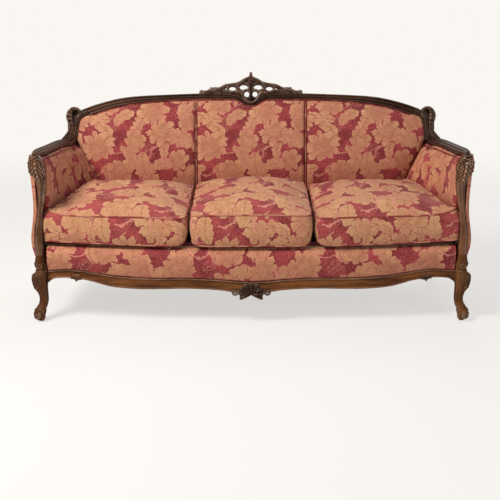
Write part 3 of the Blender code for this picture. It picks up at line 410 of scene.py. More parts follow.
def new_group(name, inputs, outputs):
    """A node group with the given sockets: its graph, its entry's outputs, and its end node's inputs."""
    tree = bpy.data.node_groups.new(name, "ShaderNodeTree")
    for socket, kind in inputs.items():
        tree.interface.new_socket(socket, in_out="INPUT", socket_type=f"NodeSocket{kind}")
    for socket in outputs:
        tree.interface.new_socket(socket, in_out="OUTPUT", socket_type="NodeSocketFloat")
    graph = Graph(tree)
    return graph, graph.node("NodeGroupInput").outputs, graph.node("NodeGroupOutput").inputs


def new_motif(name):
    """A motif's group, entry, end and own coordinates: the repeat's nearest copy of its middle, turned."""
    graph, entry, leave = new_group(name, MOTIF_SOCKETS, ("Mask", "Keep", "Tone"))
    half = (REPEAT_WIDTH / 2, REPEAT_HEIGHT / 2, 1.0)
    near = graph.vector("WRAP", graph.vector("SUBTRACT", entry["Vector"], entry["Centre"]), half,
                        tuple(-x for x in half))
    names = {"Vector": near, "Angle": entry["Turn"]}
    turned = graph.node("ShaderNodeVectorRotate", names, rotation_type="Z_AXIS").outputs[0]
    x, y, z = graph.split(turned)
    return graph, entry, leave, turned, x, y


def finish_motif(graph, leave, inside, tone):
    """Outputs of a motif from its signed distance inside the outline. A tone below 0 is its pale rim."""
    graph.feed(leave["Mask"], graph.step(inside, -SOFT_EDGE, SOFT_EDGE))
    graph.feed(leave["Keep"], graph.step(inside, -HALO - SOFT_EDGE, -HALO + SOFT_EDGE, 1.0, 0.0))
    rim = graph.step(inside, 0.0015, 0.0050, 0.60, 0.0)
    graph.feed(leave["Tone"], graph.less(tone, rim))
    return graph.tree


def blossom_group():
    """A many-petalled flower: Size is its radius, Form its number of petals."""
    graph, entry, leave, turned, x, y = new_motif("blossom")
    reach = graph.vector("LENGTH", turned, output=1)
    around = graph.math("ARCTAN2", y, x)
    half_turns = graph.times(graph.times(around, entry["Form"]), 0.5)
    petal = graph.math("POWER", graph.wave(half_turns), 0.70)
    lobes = graph.fused(petal, 0.33, 0.64)
    lobes = graph.fused(graph.wave(graph.times(half_turns, 3.0)), 0.065, lobes)
    lobes = graph.fused(graph.math("COSINE", graph.times(around, 2.0)), 0.100, lobes)
    inside = graph.less(graph.times(lobes, entry["Size"]), reach)
    share = graph.math("DIVIDE", reach, entry["Size"])
    split = graph.times(graph.step(petal, 0.22, 0.42, 1.0, 0.0), graph.step(share, 0.28, 0.46))
    inner_reach = graph.fused(graph.wave(graph.fused(half_turns, 0.75, 0.9)), 0.16, 0.40)
    inner_ring = graph.step(graph.apart(share, inner_reach), 0.012, 0.040, 1.0, 0.0)
    outer_reach = graph.fused(graph.wave(graph.plus(half_turns, 1.1)), 0.13, 0.62)
    outer_ring = graph.step(graph.apart(share, outer_reach), 0.010, 0.034, 1.0, 0.0)
    ring = graph.most(inner_ring, graph.times(outer_ring, 0.65))
    heart = graph.step(share, 0.10, 0.17, 1.0, 0.0)
    shade = graph.times(graph.step(share, 0.30, 0.85, 0.40, 0.0), graph.step(share, 0.1, 0.3))
    tone = graph.most(graph.times(split, 0.8), graph.times(ring, 0.85), graph.times(heart, 0.5), shade)
    return finish_motif(graph, leave, inside, tone)


def leaf_group():
    """A toothed leaf along its own X: Size is its length, Form its width over its length."""
    graph, entry, leave, turned, x, y = new_motif("leaf")
    size, form = entry["Size"], entry["Form"]
    share = graph.plus(graph.math("DIVIDE", x, size), 0.5)
    hump = graph.most(graph.times(graph.times(share, graph.less(1.0, share)), 4.0), 0.0)
    across = graph.apart(y, graph.times(graph.times(hump, size), 0.10))
    teeth = graph.wave(graph.times(share, 13.5), "SINE")
    width = graph.times(graph.math("POWER", hump, 0.62), graph.fused(teeth, graph.times(form, 0.48), 0.78))
    width = graph.times(width, graph.times(graph.times(size, form), 0.5))
    beyond = graph.step(hump, 0.0, 0.02, 0.02, 0.0)
    inside = graph.less(graph.less(width, across), beyond)
    rib = graph.step(across, 0.0010, 0.0024, 1.0, 0.0)
    veins = graph.plus(graph.times(x, 330.0), graph.times(across, -420.0))
    veins = graph.step(graph.math("SINE", veins), 0.72, 0.95)
    return finish_motif(graph, leave, inside, graph.most(graph.times(rib, 0.9), graph.times(veins, 0.55)))


def stem_group():
    """An arc of stem: Size is the arc's radius, Form the half angle that it spans from its turned X."""
    graph, entry, leave, turned, x, y = new_motif("stem")
    off = graph.apart(graph.vector("LENGTH", turned, output=1), entry["Size"])
    around = graph.math("ABSOLUTE", graph.math("ARCTAN2", y, x))
    ends = graph.times(graph.less(entry["Form"], around), 0.030)
    thick = graph.math("MINIMUM", 0.0028, graph.plus(ends, 0.0005))
    return finish_motif(graph, leave, graph.less(thick, off), 0.0)


# The repeat's motifs in the order they are drawn: kind, middle as shares of the repeat's width and height,
# turn in degrees, size in metres, and form, as its group says.
MOTIFS = (
    ("sprig", 0.20, 0.29, 60, 0.090, 0.62), ("sprig", 0.91, 0.09, 20, 0.090, 0.60),
    ("sprig", 0.08, 0.69, 30, 0.090, 0.62), ("sprig", 0.79, 0.93, 80, 0.085, 0.62),
    ("sprig", 0.68, 0.43, 40, 0.080, 0.60), ("stem", 0.30, 0.05, 200, 0.120, 1.15),
    ("stem", 0.72, 0.36, 20, 0.105, 1.30), ("stem", 0.24, 0.60, 140, 0.090, 1.20),
    ("stem", 0.80, 0.84, -60, 0.085, 1.40), ("stem", 0.52, 0.90, 60, 0.060, 1.30),
    ("leaf", 0.30, 0.33, 70, 0.150, 0.66), ("leaf", 0.53, 0.20, -30, 0.115, 0.50),
    ("leaf", 0.93, 0.37, 35, 0.135, 0.60), ("leaf", 0.07, 0.57, 105, 0.150, 0.62),
    ("leaf", 0.50, 0.53, 15, 0.115, 0.46), ("leaf", 0.90, 0.66, -60, 0.125, 0.56),
    ("leaf", 0.36, 0.79, -20, 0.155, 0.64), ("leaf", 0.62, 0.985, 165, 0.125, 0.50),
    ("leaf", 0.02, 0.93, 60, 0.125, 0.50), ("leaf", 0.72, 0.51, 120, 0.080, 0.40),
    ("leaf", 0.42, 0.03, 100, 0.110, 0.50), ("leaf", 0.84, 0.16, -80, 0.100, 0.46),
    ("leaf", 0.25, 0.70, 80, 0.085, 0.46), ("leaf", 0.97, 0.20, 95, 0.125, 0.56),
    ("leaf", 0.52, 0.085, 40, 0.110, 0.52), ("leaf", 0.87, 0.975, 35, 0.120, 0.54),
    ("leaf", 0.20, 0.585, 10, 0.110, 0.50), ("leaf", 0.68, 0.875, -30, 0.100, 0.50),
    ("blossom", 0.13, 0.04, 10, 0.070, 8), ("blossom", 0.70, 0.09, 35, 0.066, 7),
    ("blossom", 0.37, 0.18, 5, 0.058, 6), ("blossom", 0.10, 0.40, 60, 0.066, 7),
    ("blossom", 0.76, 0.27, 20, 0.074, 8), ("blossom", 0.43, 0.42, 80, 0.078, 9),
    ("blossom", 0.83, 0.54, 10, 0.064, 7), ("blossom", 0.21, 0.86, 45, 0.068, 8),
    ("blossom", 0.63, 0.74, 25, 0.082, 9), ("blossom", 0.97, 0.78, 70, 0.058, 7),
    ("blossom", 0.36, 0.625, 15, 0.052, 6), ("blossom", 0.46, 0.945, 30, 0.050, 7),
    ("stem", 0.07, 0.34, -30, 0.075, 1.20), ("stem", 0.60, 0.62, 250, 0.070, 1.10),
    ("stem", 0.52, 0.28, 160, 0.110, 0.85),
)
LEAF_SHRINK = 0.99
# The cloth's origin is moved far into the repeats, so that no motif wraps at a negative place.
FAR_IN = (5 * REPEAT_WIDTH, 5 * REPEAT_HEIGHT, 0.0)
# Two noises that make the woven outlines wander: scale, detail, and size in metres.
WANDERS = ((13.0, 1.0, 0.042), (48.0, 2.0, 0.024))
TRACE = (1e-9, 1e-9, 0.0)


def damask_group():
    """The woven repeat: Cover is 1 on a motif, Tone its inner drawing, Line the pale stems."""
    kinds = {"blossom": blossom_group(), "leaf": leaf_group(), "stem": stem_group()}
    kinds["sprig"] = kinds["leaf"]
    graph, entry, leave = new_group("damask", {"Vector": "Vector"}, ("Cover", "Tone", "Line"))
    start = graph.vector("ADD", entry[0], FAR_IN)
    place = start
    for scale, detail, size in WANDERS:
        drift = graph.vector("SUBTRACT", graph.noise(start, scale, detail, output="Color"), (0.5, 0.5, 0.5))
        place = graph.vector("ADD", place, graph.stretch(drift, size, size, 0.0))
    cover, tone, line = 0.0, 0.0, 0.0
    for kind, x, y, turn, size, form in MOTIFS:
        made = graph.node("ShaderNodeGroup", node_tree=kinds[kind])
        # A trace of the last result makes the motifs wait for each other, which keeps the shader small.
        waiting = graph.vector("MULTIPLY_ADD", line, TRACE, place) if line else place
        size *= LEAF_SHRINK if kind == "leaf" else 1.0
        values = {"Vector": waiting, "Centre": (x * REPEAT_WIDTH, y * REPEAT_HEIGHT, 0.0),
                  "Turn": -math.radians(turn), "Size": size, "Form": form}
        for key, value in values.items():
            graph.feed(made.inputs[key], value)
        mask, keep, drawn = made.outputs
        if kind == "stem":
            line = graph.most(line, mask)
        elif kind == "sprig":
            line = graph.most(line, graph.times(graph.math("ABSOLUTE", drawn), mask))
        else:
            line = graph.times(line, keep)
            cover = graph.fused(cover, keep, mask)
            tone = graph.fused(tone, keep, graph.times(drawn, mask))
    for key, value in zip(("Cover", "Tone", "Line"), (cover, tone, line)):
        graph.feed(leave[key], value)
    return graph.tree


def principled(name, roughness, **constants):
    """A new material, its graph and its shader, with constants on the shader's own sockets."""
    material = bpy.data.materials.new(name)
    material.use_nodes = True
    graph = Graph(material.node_tree)
    shader = material.node_tree.nodes["Principled BSDF"]
    graph.feed(shader.inputs["Roughness"], roughness)
    for key, value in constants.items():
        shader.inputs[key.replace("_", " ").title().replace("Ior", "IOR")].default_value = value
    return material, graph, shader


def add_bump(graph, shader, height, distance, strength=1.0):
    """Small relief from a height between 0 and 1 that stands for a real distance."""
    names = {"Height": height, "Distance": distance, "Strength": strength}
    graph.feed(shader.inputs["Normal"], graph.node("ShaderNodeBump", names).outputs[0])


GROUND_DEEP, GROUND_LIGHT = (0.175, 0.014, 0.021), (0.340, 0.045, 0.054)
TAN_LIGHT, TAN_DEEP, TAN_ROSE = (0.590, 0.312, 0.168), (0.400, 0.185, 0.088), (0.545, 0.240, 0.150)
STEM_PINK, RIM_PINK, TAN_LINE = (0.640, 0.255, 0.200), (0.690, 0.330, 0.225), (0.300, 0.075, 0.050)
YARN_PITCH = 0.0016
# How far the edge of the painted shade wanders up and down, in metres.
PAINTED_SHADE_WANDER = 0.03


def fabric_material(name, damask, tint, painted_shade=None):
    """Woven floral damask with ribs, mottled yarn and a soft sheen.

    The last argument is (low, high, shade): painted shade that darkens the cloth towards the bottom, by the
    shade below low and not at all above high, and warms it where darkest.
    """
    material, graph, shader = principled(name, 0.82, sheen_weight=0.10, sheen_roughness=0.45,
                                         specular_ior_level=0.20)
    cloth = graph.node("ShaderNodeUVMap", uv_map=CLOTH_MAP).outputs[0]
    cover, tone, line = graph.node("ShaderNodeGroup", {0: cloth}, node_tree=damask).outputs
    cover = graph.math("MINIMUM", cover, 1.0)
    cloudy = graph.noise(cloth, 9.0, 3.0, 0.6)
    yarn = graph.noise(graph.stretch(cloth, 260.0, 620.0, 1.0), 1.0, 2.0, 0.6)
    flecks = graph.noise(graph.stretch(cloth, 150.0, 230.0, 1.0), 1.0, 2.0, 0.65)
    mottle = graph.step(graph.noise(cloth, 32.0, 3.0, 0.6), 0.35, 0.72)
    ground = graph.mix(graph.step(cloudy, 0.35, 0.65), GROUND_DEEP, GROUND_LIGHT)
    tan = graph.mix(graph.step(cloudy, 0.38, 0.60), TAN_LIGHT, TAN_ROSE)
    tan = graph.mix(graph.times(mottle, 0.55), tan, TAN_DEEP)
    tan = graph.mix(graph.times(graph.most(tone, 0.0), 0.72), tan, TAN_LINE)
    tan = graph.mix(graph.most(graph.times(tone, -1.0), 0.0), tan, RIM_PINK)
    colour = graph.mix(cover, ground, tan)
    colour = graph.mix(graph.times(line, 0.75), colour, STEM_PINK)
    dusting = graph.step(flecks, 0.46, 0.72, 0.0, 0.42)
    colour = graph.mix(dusting, colour, graph.mix(cover, STEM_PINK, GROUND_LIGHT))
    # Painted shade: the cloth is darker and redder towards the bottom of the piece, with a wavy edge.
    if painted_shade:
        low, high, shade = painted_shade
        wavy = graph.fused(cloudy, 2 * PAINTED_SHADE_WANDER, graph.split(graph.place())[2])
        shaded_share = graph.step(wavy, low + PAINTED_SHADE_WANDER, high + PAINTED_SHADE_WANDER, shade, 1.0)
        colour = graph.dye(colour, shaded_share, graph.math("POWER", shaded_share, 1.7), graph.math("POWER", shaded_share, 1.9))
    shine = graph.step(yarn, 0.25, 0.75, 0.80, 1.10)
    # The tint brightens or dims this copy of the cloth as painted light or painted shade.
    colour = graph.mix(1.0, graph.dye(colour, shine, shine, shine), tint, "MULTIPLY")
    graph.feed(shader.inputs["Base Color"], colour)
    along, up, square = graph.split(cloth)
    ribs = graph.math("SINE", graph.times(up, math.tau / YARN_PITCH))
    cross = graph.math("SINE", graph.times(along, math.tau / (YARN_PITCH * 0.75)))
    weave = graph.fused(graph.times(ribs, cross), 0.25, 0.5)
    add_bump(graph, shader, graph.fused(yarn, 0.55, graph.times(weave, 0.35)), 0.0012, 0.8)
    return material


def cord_material(name, light, dark):
    """Piping covered in the same yarns: patches of tan and rose along it, with a fine weave."""
    material, graph, shader = principled(name, 0.85, sheen_weight=0.04, specular_ior_level=0.20)
    place = graph.place()
    threads = graph.noise(place, 900.0, 1.0)
    colour = graph.mix(graph.step(graph.noise(place, 22.0, 1.0), 0.44, 0.56), dark, light)
    colour = graph.mix(graph.step(threads, 0.3, 0.7, 0.0, 0.4), colour, GROUND_DEEP)
    graph.feed(shader.inputs["Base Color"], colour)
    add_bump(graph, shader, threads, 0.0006, 0.6)
    return material


# Tones of each wood: dark, middle and light.
FRAME_TONES = (0.014, 0.0050, 0.0026), (0.036, 0.0135, 0.0062), (0.078, 0.032, 0.0145)
LEG_TONES = (0.032, 0.0105, 0.0035), (0.090, 0.032, 0.0105), (0.185, 0.078, 0.028)
STILE_TONES = (0.044, 0.0130, 0.0045), (0.130, 0.042, 0.0140), (0.270, 0.105, 0.037)
APRON_TONES = (0.060, 0.0185, 0.0055), (0.180, 0.062, 0.018), (0.310, 0.130, 0.043)
BEECH_TONES = (0.32, 0.19, 0.09), (0.44, 0.28, 0.14), (0.52, 0.36, 0.20)
# Colour of pointed edges, partly rubbed wear and partly painted highlight; and the colour of the darkened
# hollows.
WOOD_WEAR_AND_HIGHLIGHT, WOOD_HOLLOW_DARK = (0.440, 0.285, 0.215), (0.008, 0.0035, 0.0018)
ALONG_GRAIN, ACROSS_GRAIN = 4.0, 34.0


def wood_material(name, along, tones=FRAME_TONES, gloss=0.32, coat=0.05, wear_and_highlight=0.28, shine=0.20):
    """Polished walnut: grain drawn out along one axis, pores, darker hollows, and lighter edges that are
    partly rubbed wear and partly painted highlight.
    """
    material, graph, shader = principled(name, gloss, coat_weight=coat, coat_roughness=0.14,
                                         specular_ior_level=shine)
    shader.inputs["Specular Tint"].default_value = (1.0, 0.78, 0.60, 1.0)
    dark, middle, light = tones
    place = graph.place()
    drawn = graph.stretch(place, *(ALONG_GRAIN if axis == along else ACROSS_GRAIN for axis in "xyz"))
    grain = graph.noise(drawn, 1.0, 4.0, 0.62)
    bands = graph.noise(graph.stretch(drawn, 0.28, 0.28, 0.28), 1.0)
    pores = graph.noise(graph.stretch(drawn, 7.0, 7.0, 7.0), 1.0)
    colour = graph.mix(graph.step(grain, 0.34, 0.66), dark, middle)
    colour = graph.mix(graph.step(bands, 0.45, 0.68, 0.0, 0.65), colour, light)
    colour = graph.mix(graph.step(pores, 0.60, 0.75, 0.0, 0.45), colour, dark)
    point = graph.node("ShaderNodeNewGeometry").outputs["Pointiness"]
    patchy = graph.step(graph.noise(place, 26.0, 3.0, 0.6), 0.35, 0.65, 0.35, 1.0)
    edges = graph.times(graph.step(point, 0.505, 0.56), patchy)
    hollows = graph.step(point, 0.44, 0.495, 0.8, 0.0)
    # Pointed edges turn lighter: partly rubbed wear, partly painted highlight.
    colour = graph.mix(graph.times(edges, wear_and_highlight), colour, WOOD_WEAR_AND_HIGHLIGHT)
    # Hollows are darkened to near black.
    graph.feed(shader.inputs["Base Color"], graph.mix(hollows, colour, WOOD_HOLLOW_DARK))
    rough = graph.step(graph.noise(place, 18.0, 3.0, 0.6), 0.3, 0.7, gloss - 0.06, gloss + 0.16)
    graph.feed(shader.inputs["Roughness"], graph.plus(rough, graph.times(hollows, 0.25)))
    add_bump(graph, shader, graph.plus(graph.times(pores, 0.5), grain), 0.0004, 0.5)
    return material


def plain_cloth_material(name, low, high, pitch):
    """A coarse plain weave in two tones of one colour, for linings, webbing and the like."""
    material, graph, shader = principled(name, 0.9, specular_ior_level=0.2)
    place = graph.place()
    x, y, z = graph.split(place)
    warp, weft = (graph.math("SINE", graph.times(way, math.tau / pitch)) for way in (x, graph.plus(y, z)))
    weave = graph.fused(graph.times(warp, weft), 0.5, 0.5)
    share = graph.times(graph.plus(weave, graph.noise(place, 140.0, 3.0, 0.6)), 0.5)
    graph.feed(shader.inputs["Base Color"], graph.mix(graph.step(share, 0.2, 0.8), low, high))
    add_bump(graph, shader, share, pitch / 3, 0.8)
    return material


def metal_material(name, colour, roughness=0.35):
    """Oiled metal with faint spots of dulling."""
    material, graph, shader = principled(name, roughness, metallic=1.0)
    spots = graph.noise(graph.place(), 60.0, 4.0, 0.7)
    dark = tuple(0.45 * part for part in colour)
    graph.feed(shader.inputs["Base Color"], graph.mix(graph.step(spots, 0.45, 0.7), colour, dark))
    graph.feed(shader.inputs["Roughness"], graph.step(spots, 0.3, 0.7, roughness - 0.08, roughness + 0.2))
    return material


DAMASK = damask_group()
# Copies of one cloth that differ by painted light: the cushions' and arms' tints brighten them as painted
# light, the plain copy's tint dims it as painted shade, and the arm and back copies darken towards the bottom
# as painted shade.
FABRIC = fabric_material("floral_fabric", DAMASK, (0.97, 0.92, 0.88))
CUSHION_FABRIC = fabric_material("floral_fabric_cushions", DAMASK, (1.03, 1.10, 0.99))
ARM_FABRIC = fabric_material("floral_fabric_arms", DAMASK, (1.12, 1.08, 1.00), (0.45, 0.56, 0.24))
BACK_FABRIC = fabric_material("floral_fabric_back", DAMASK, (1.0, 0.99, 0.97), (0.46, 0.66, 0.64))
WELT = cord_material("welt_fabric", (0.500, 0.220, 0.140), (0.270, 0.050, 0.042))
TRIM = cord_material("trim_fabric", (0.300, 0.070, 0.052), (0.150, 0.022, 0.020))
WOOD_X, WOOD_Y, WOOD_Z = (wood_material(f"walnut_{axis}", axis) for axis in "xyz")
# The carvings and stiles get more of the light edge colour, much of it painted highlight.
CARVED_X = wood_material("carved_walnut_x", "x", gloss=0.22, wear_and_highlight=0.40, shine=0.50)
CARVED_Y = wood_material("carved_walnut_y", "y", gloss=0.22, wear_and_highlight=0.70, shine=0.50)
CARVED_Z = wood_material("carved_walnut_z", "z", LEG_TONES, gloss=0.30, coat=0.0, wear_and_highlight=0.45, shine=0.10)
STILE_WOOD = wood_material("stile_walnut_z", "z", STILE_TONES, gloss=0.20, wear_and_highlight=0.80, shine=0.55)
APRON_WOOD = wood_material("apron_walnut_x", "x", APRON_TONES, gloss=0.30, coat=0.02, wear_and_highlight=0.45, shine=0.15)
BEECH = wood_material("beech", "x", BEECH_TONES, gloss=0.62, coat=0.0, wear_and_highlight=0.1)
DUST = plain_cloth_material("dust_cloth", (0.010, 0.010, 0.011), (0.030, 0.030, 0.032), 0.0016)
# Decking cloth under the cushions, made dark partly as painted shade in the gap under the cushions' front.
DECKING = plain_cloth_material("decking_cloth", (0.040, 0.007, 0.008), (0.090, 0.018, 0.018), 0.0014)
BURLAP = plain_cloth_material("burlap", (0.30, 0.20, 0.10), (0.52, 0.38, 0.22), 0.0030)
JUTE = plain_cloth_material("jute_webbing", (0.36, 0.25, 0.13), (0.58, 0.44, 0.27), 0.0045)
TAPE = plain_cloth_material("zipper_tape", (0.20, 0.020, 0.025), (0.34, 0.050, 0.055), 0.0012)
STEEL = metal_material("spring_steel", (0.32, 0.33, 0.35))
BRASS = metal_material("zipper_brass", (0.62, 0.44, 0.18), 0.4)


# Mesh building.

def add_piece(name, shells, material, stands_for=(), body="root", angle=45, chart=None):
    """One piece from closed shells of (points, faces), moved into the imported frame, with its cloth map."""
    points, faces = [], []
    for shell_points, shell_faces in shells:
        start = len(points)
        points += [(x, y + SHIFT, z) for x, y, z in shell_points]
        faces += [[start + corner for corner in face] for face in shell_faces]
    mesh = bpy.data.meshes.new(name)
    mesh.from_pydata(points, [], faces)
    bm = bmesh.new()
    bm.from_mesh(mesh)
    bmesh.ops.remove_doubles(bm, verts=bm.verts, dist=GAP / 10)
    bmesh.ops.recalc_face_normals(bm, faces=bm.faces)
    bm.to_mesh(mesh)
    bm.free()
    piece = bpy.data.objects.new(name, mesh)
    bpy.context.scene.collection.objects.link(piece)
    mesh.materials.append(material)
    mesh.shade_smooth()
    mesh.set_sharp_from_angle(angle=math.radians(angle))
    if chart:
        lay_cloth(mesh, chart)
    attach(piece, body)
    if stands_for:
        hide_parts(*stands_for)
    return piece


def read_all(items, key, width, kind=np.float32):
    """An attribute of a mesh's elements, one row for each."""
    values = np.empty(len(items) * width, kind)
    items.foreach_get(key, values)
    return values.reshape(-1, width)


def lay_cloth(mesh, chart):
    """The cloth map: the chart turns places and face directions into metres of cloth."""
    corners = read_all(mesh.loops, "vertex_index", 1, np.int32).ravel()
    places = read_all(mesh.vertices, "co", 3)[corners].astype(float)
    places[:, 1] -= SHIFT
    counts = read_all(mesh.polygons, "loop_total", 1, np.int32).ravel()
    normals = np.repeat(read_all(mesh.polygons, "normal", 3), counts, axis=0)
    cloth = mesh.uv_layers.get(CLOTH_MAP) or mesh.uv_layers.new(name=CLOTH_MAP)
    cloth.uv.foreach_set("vector", np.ascontiguousarray(chart(places, normals), np.float32).ravel())


def rings_shell(rings, closed_path=False):
    """Quads between rings of equal count, with a fan over each end unless the last ring meets the first."""
    count, around = len(rings), len(rings[0])
    points = [point for ring in rings for point in ring]
    faces = []
    for row in range(count if closed_path else count - 1):
        low, high = row * around, (row + 1) % count * around
        for k in range(around):
            following = (k + 1) % around
            faces.append((low + k, low + following, high + following, high + k))
    for row, flip in () if closed_path else ((0, True), (count - 1, False)):
        middle, start = len(points), row * around
        points.append(sum((Vector(point) for point in rings[row]), Vector()) / around)
        for k in range(around):
            pair = (start + k, start + (k + 1) % around)
            faces.append((*(pair[::-1] if flip else pair), middle))
    return points, faces


def grid_shell(rows, columns, pair):
    """A closed shell between two grids: pair gives the front and back point of a row and column."""
    pairs = [pair(row, column) for row in rows for column in columns]
    points = [front for front, back in pairs] + [back for front, back in pairs]
    half, high, wide = len(pairs), len(rows), len(columns)
    faces = []
    for i in range(high - 1):
        for j in range(wide - 1):
            a, b = i * wide + j, (i + 1) * wide + j
            faces += [(a, b, b + 1, a + 1), (half + a, half + a + 1, half + b + 1, half + b)]
    rim = list(range(wide)) + [i * wide + wide - 1 for i in range(1, high)]
    rim += [(high - 1) * wide + j for j in range(wide - 2, -1, -1)]
    rim += [i * wide for i in range(high - 2, 0, -1)]
    for first, second in zip(rim, rim[1:] + rim[:1]):
        faces.append((first, second, half + second, half + first))
    return points, faces


def run_of(path, k):
    """Direction of a path at its k-th point."""
    return (path[min(k + 1, len(path) - 1)] - path[max(k - 1, 0)]).normalized()


def sizes_along(*sizes):
    """Sizes evenly spaced along a path, as a function of the share of its way."""
    table = list(zip(spread(0.0, 1.0, len(sizes)), sizes))
    return lambda share: follow(table, share)


def tube_shell(path, radius, around=12, closed_path=False, flatten=None):
    """A round tube. Radius is a size or a function of the share of the way. Flatten is (direction, factor).

    The sections of a closed tube meet turn for turn only where its path lies in a plane.
    """
    rings, side, count = [], None, len(path)
    for k, place in enumerate(path):
        run = (path[(k + 1) % count] - path[k - 1]).normalized() if closed_path else run_of(path, k)
        side = side or run.orthogonal().normalized()
        side = (side - run * side.dot(run)).normalized()
        up = run.cross(side)
        size = radius(k / (count - 1)) if callable(radius) else radius
        ring = []
        for turn in turns_round(around):
            offset = side * (math.cos(turn) * size) + up * (math.sin(turn) * size)
            if flatten:
                offset += flatten[0] * (offset.dot(flatten[0]) * (flatten[1] - 1))
            ring.append(place + offset)
        rings.append(ring)
    return rings_shell(rings, closed_path)


def curl_way(reach, shrink, turns, first, count, power=1.0):
    """A flat curl that shrinks towards its middle, as (share of the way, across, up)."""
    way = []
    for share in spread(0.0, 1.0, count):
        size, turn = reach * (1 - shrink * share ** power), first + math.tau * turns * share
        way.append((share, size * math.cos(turn), size * math.sin(turn)))
    return way


def leaf_shell(carrier, length, half_width, thick, lobes, sink, rows=34, columns=21, curl=0.0):
    """A carved acanthus leaf as its own shell on a carrier: a function of (along, across, height)."""
    def pair(s, t):
        notch = abs(math.sin(math.pi * lobes * s ** 0.85))
        width = math.sin(math.pi * s ** 0.62) ** 0.55 * (0.74 + 0.26 * notch)
        across = abs(t) * width
        ribs = 0.62 + 0.38 * abs(math.sin(math.pi * lobes * (s ** 0.85 - 0.30 * across))) ** 0.8
        ribs += 0.35 * bump_at(across, 0.0, 0.10) - 0.22 * bump_at(across, 0.20, 0.05)
        relief = (1 - abs(t) ** 3) ** 0.6 * ribs * min(1.0, 6 * s, 3.5 * (1 - s))
        place = s * length, t * width * half_width
        return carrier(*place, (relief + curl * s ** 4) * thick), carrier(*place, -sink)

    return grid_shell(spread(0.005, 0.995, rows), spread(-0.98, 0.98, columns), pair)


def face_tables(form):
    """The tables of a column's inner, outer, front and back face from its sections."""
    return [[(row[0], row[k]) for row in form] for k in range(1, 5)]


def section_at(tables, z):
    """A column's section at a height: its middle across and from front to back, and its half sizes."""
    inner, outer, front, back = (follow(column, z) for column in tables)
    return (inner + outer) / 2, (front + back) / 2, (outer - inner) / 2, (back - front) / 2


def section_point(section, side, z, turn, lift):
    """A point on a column's section in a direction round it, lifted off its face."""
    middle_x, middle_y, half_x, half_y = section
    c, s = superellipse(turn)
    out = Vector((c / half_x, s / half_y)).normalized()
    return Vector((side * (middle_x + c * half_x + out.x * lift), middle_y + s * half_y + out.y * lift, z))


def column_shell(side, tables, relief, rows, around=96):
    """A leg or stile through its tables, dense enough to carry a carved relief.

    Relief takes the height and the direction round the column: 0 outwards, -pi/2 forwards.
    """
    rings = []
    for z in spread(tables[0][0][0], tables[0][-1][0], rows):
        section = section_at(tables, z)
        rings.append([section_point(section, side, z, turn, relief(z, turn)) for turn in turns_round(around)])
    return rings_shell(rings)


# Carved and moulded wood.

KNEE_TURN = -math.pi / 4
FRONT_TURN = -math.pi / 2
INNER_TURN = math.pi * 1.24


def leg_relief(z, turn):
    """Carving of a cabriole leg: beads along its edges, gadroons under the collar and a scrolled toe."""
    knee, inner, front = (turn_apart(turn, way) for way in (KNEE_TURN, INNER_TURN, FRONT_TURN - 0.35))
    bead = bump_at(knee, 0.0, 0.15) - 0.9 * bump_at(abs(knee), 0.36, 0.13)
    lift = 0.0014 * bead * window(z, 0.060, 0.165, 0.02)
    bead = bump_at(inner, 0.0, 0.13) - 0.8 * bump_at(abs(inner), 0.32, 0.12)
    lift += 0.0014 * bead * window(z, 0.062, 0.262, 0.02)
    lift -= 0.0012 * bump_at(front, 0.0, 0.14) * window(z, 0.075, 0.200, 0.02)
    lift += 0.0016 * math.cos(knee * 8) * window(z, 0.226, 0.234, 0.004) * (math.cos(knee) > -0.2)
    lift += 0.0012 * bump_at(z, 0.227, 0.004)
    lift += 0.0016 * math.cos(knee * 5 + z * 150) * window(z, 0.006, 0.052, 0.012)
    return lift - 0.0022 * bump_at(z, 0.058 + 0.004 * math.cos(knee), 0.004)


# Ridges and hollows of a stile's face: direction from straight ahead, width, and height over the relief.
STILE_RIDGES = (
    (-0.85, 0.20, 1.0), (0.85, 0.20, 1.0), (-0.25, 0.30, -0.9), (0.42, 0.12, -0.5), (0.16, 0.13, 0.45),
)


def stile_relief(z, turn):
    """Carving of an arm stile: a raised edge on each side, a hollow face and a bead in it."""
    ahead = turn_apart(turn, FRONT_TURN)
    ridges = sum(high * bump_at(ahead, at, wide) for at, wide, high in STILE_RIDGES)
    return 0.0026 * window(z, 0.325, 0.665, 0.03) * ridges


def make_front_leg(name, side):
    """Cabriole leg with leaves on its knee, two curls above them and a scrolled toe."""
    tables = face_tables(LEG_FORM)
    shells = [column_shell(side, tables, leg_relief, 170)]

    def carrier(top, lean):
        def on_leg(along, across, height):
            section = section_at(tables, top - along)
            turn = KNEE_TURN + lean + across / (0.5 * (section[2] + section[3]))
            return section_point(section, side, top - along, turn, height)
        return on_leg

    shells.append(leaf_shell(carrier(0.222, 0.0), 0.094, 0.019, 0.0085, 6, 0.004, 60, 31))
    for lean in (0.62, -0.62):
        shells.append(leaf_shell(carrier(0.220, lean), 0.054, 0.011, 0.0065, 4, 0.004, 40, 21))
    for lean, reach in ((0.75, 0.0125), (-0.55, 0.0115)):
        on_leg = carrier(0.251, lean)
        path = [on_leg(-up, across, 0.0008) for share, across, up in curl_way(reach, 0.8, 1.25, 1.9, 46)]
        shells.append(tube_shell(path, sizes_along(0.0034, 0.0020), 8))
    toe = Vector((side * 0.950, -0.038, 0.030))
    way = curl_way(0.0165, 0.86, 1.45, math.pi * 0.62, 60)
    path = [toe + Vector((side * across * 0.9, -0.004 * share, up)) for share, across, up in way]
    shells.append(tube_shell(path, sizes_along(0.0052, 0.0026), 10))
    add_piece(f"carved_leg_{name}", shells, CARVED_Z, [f"front_leg_{name}"], angle=60)


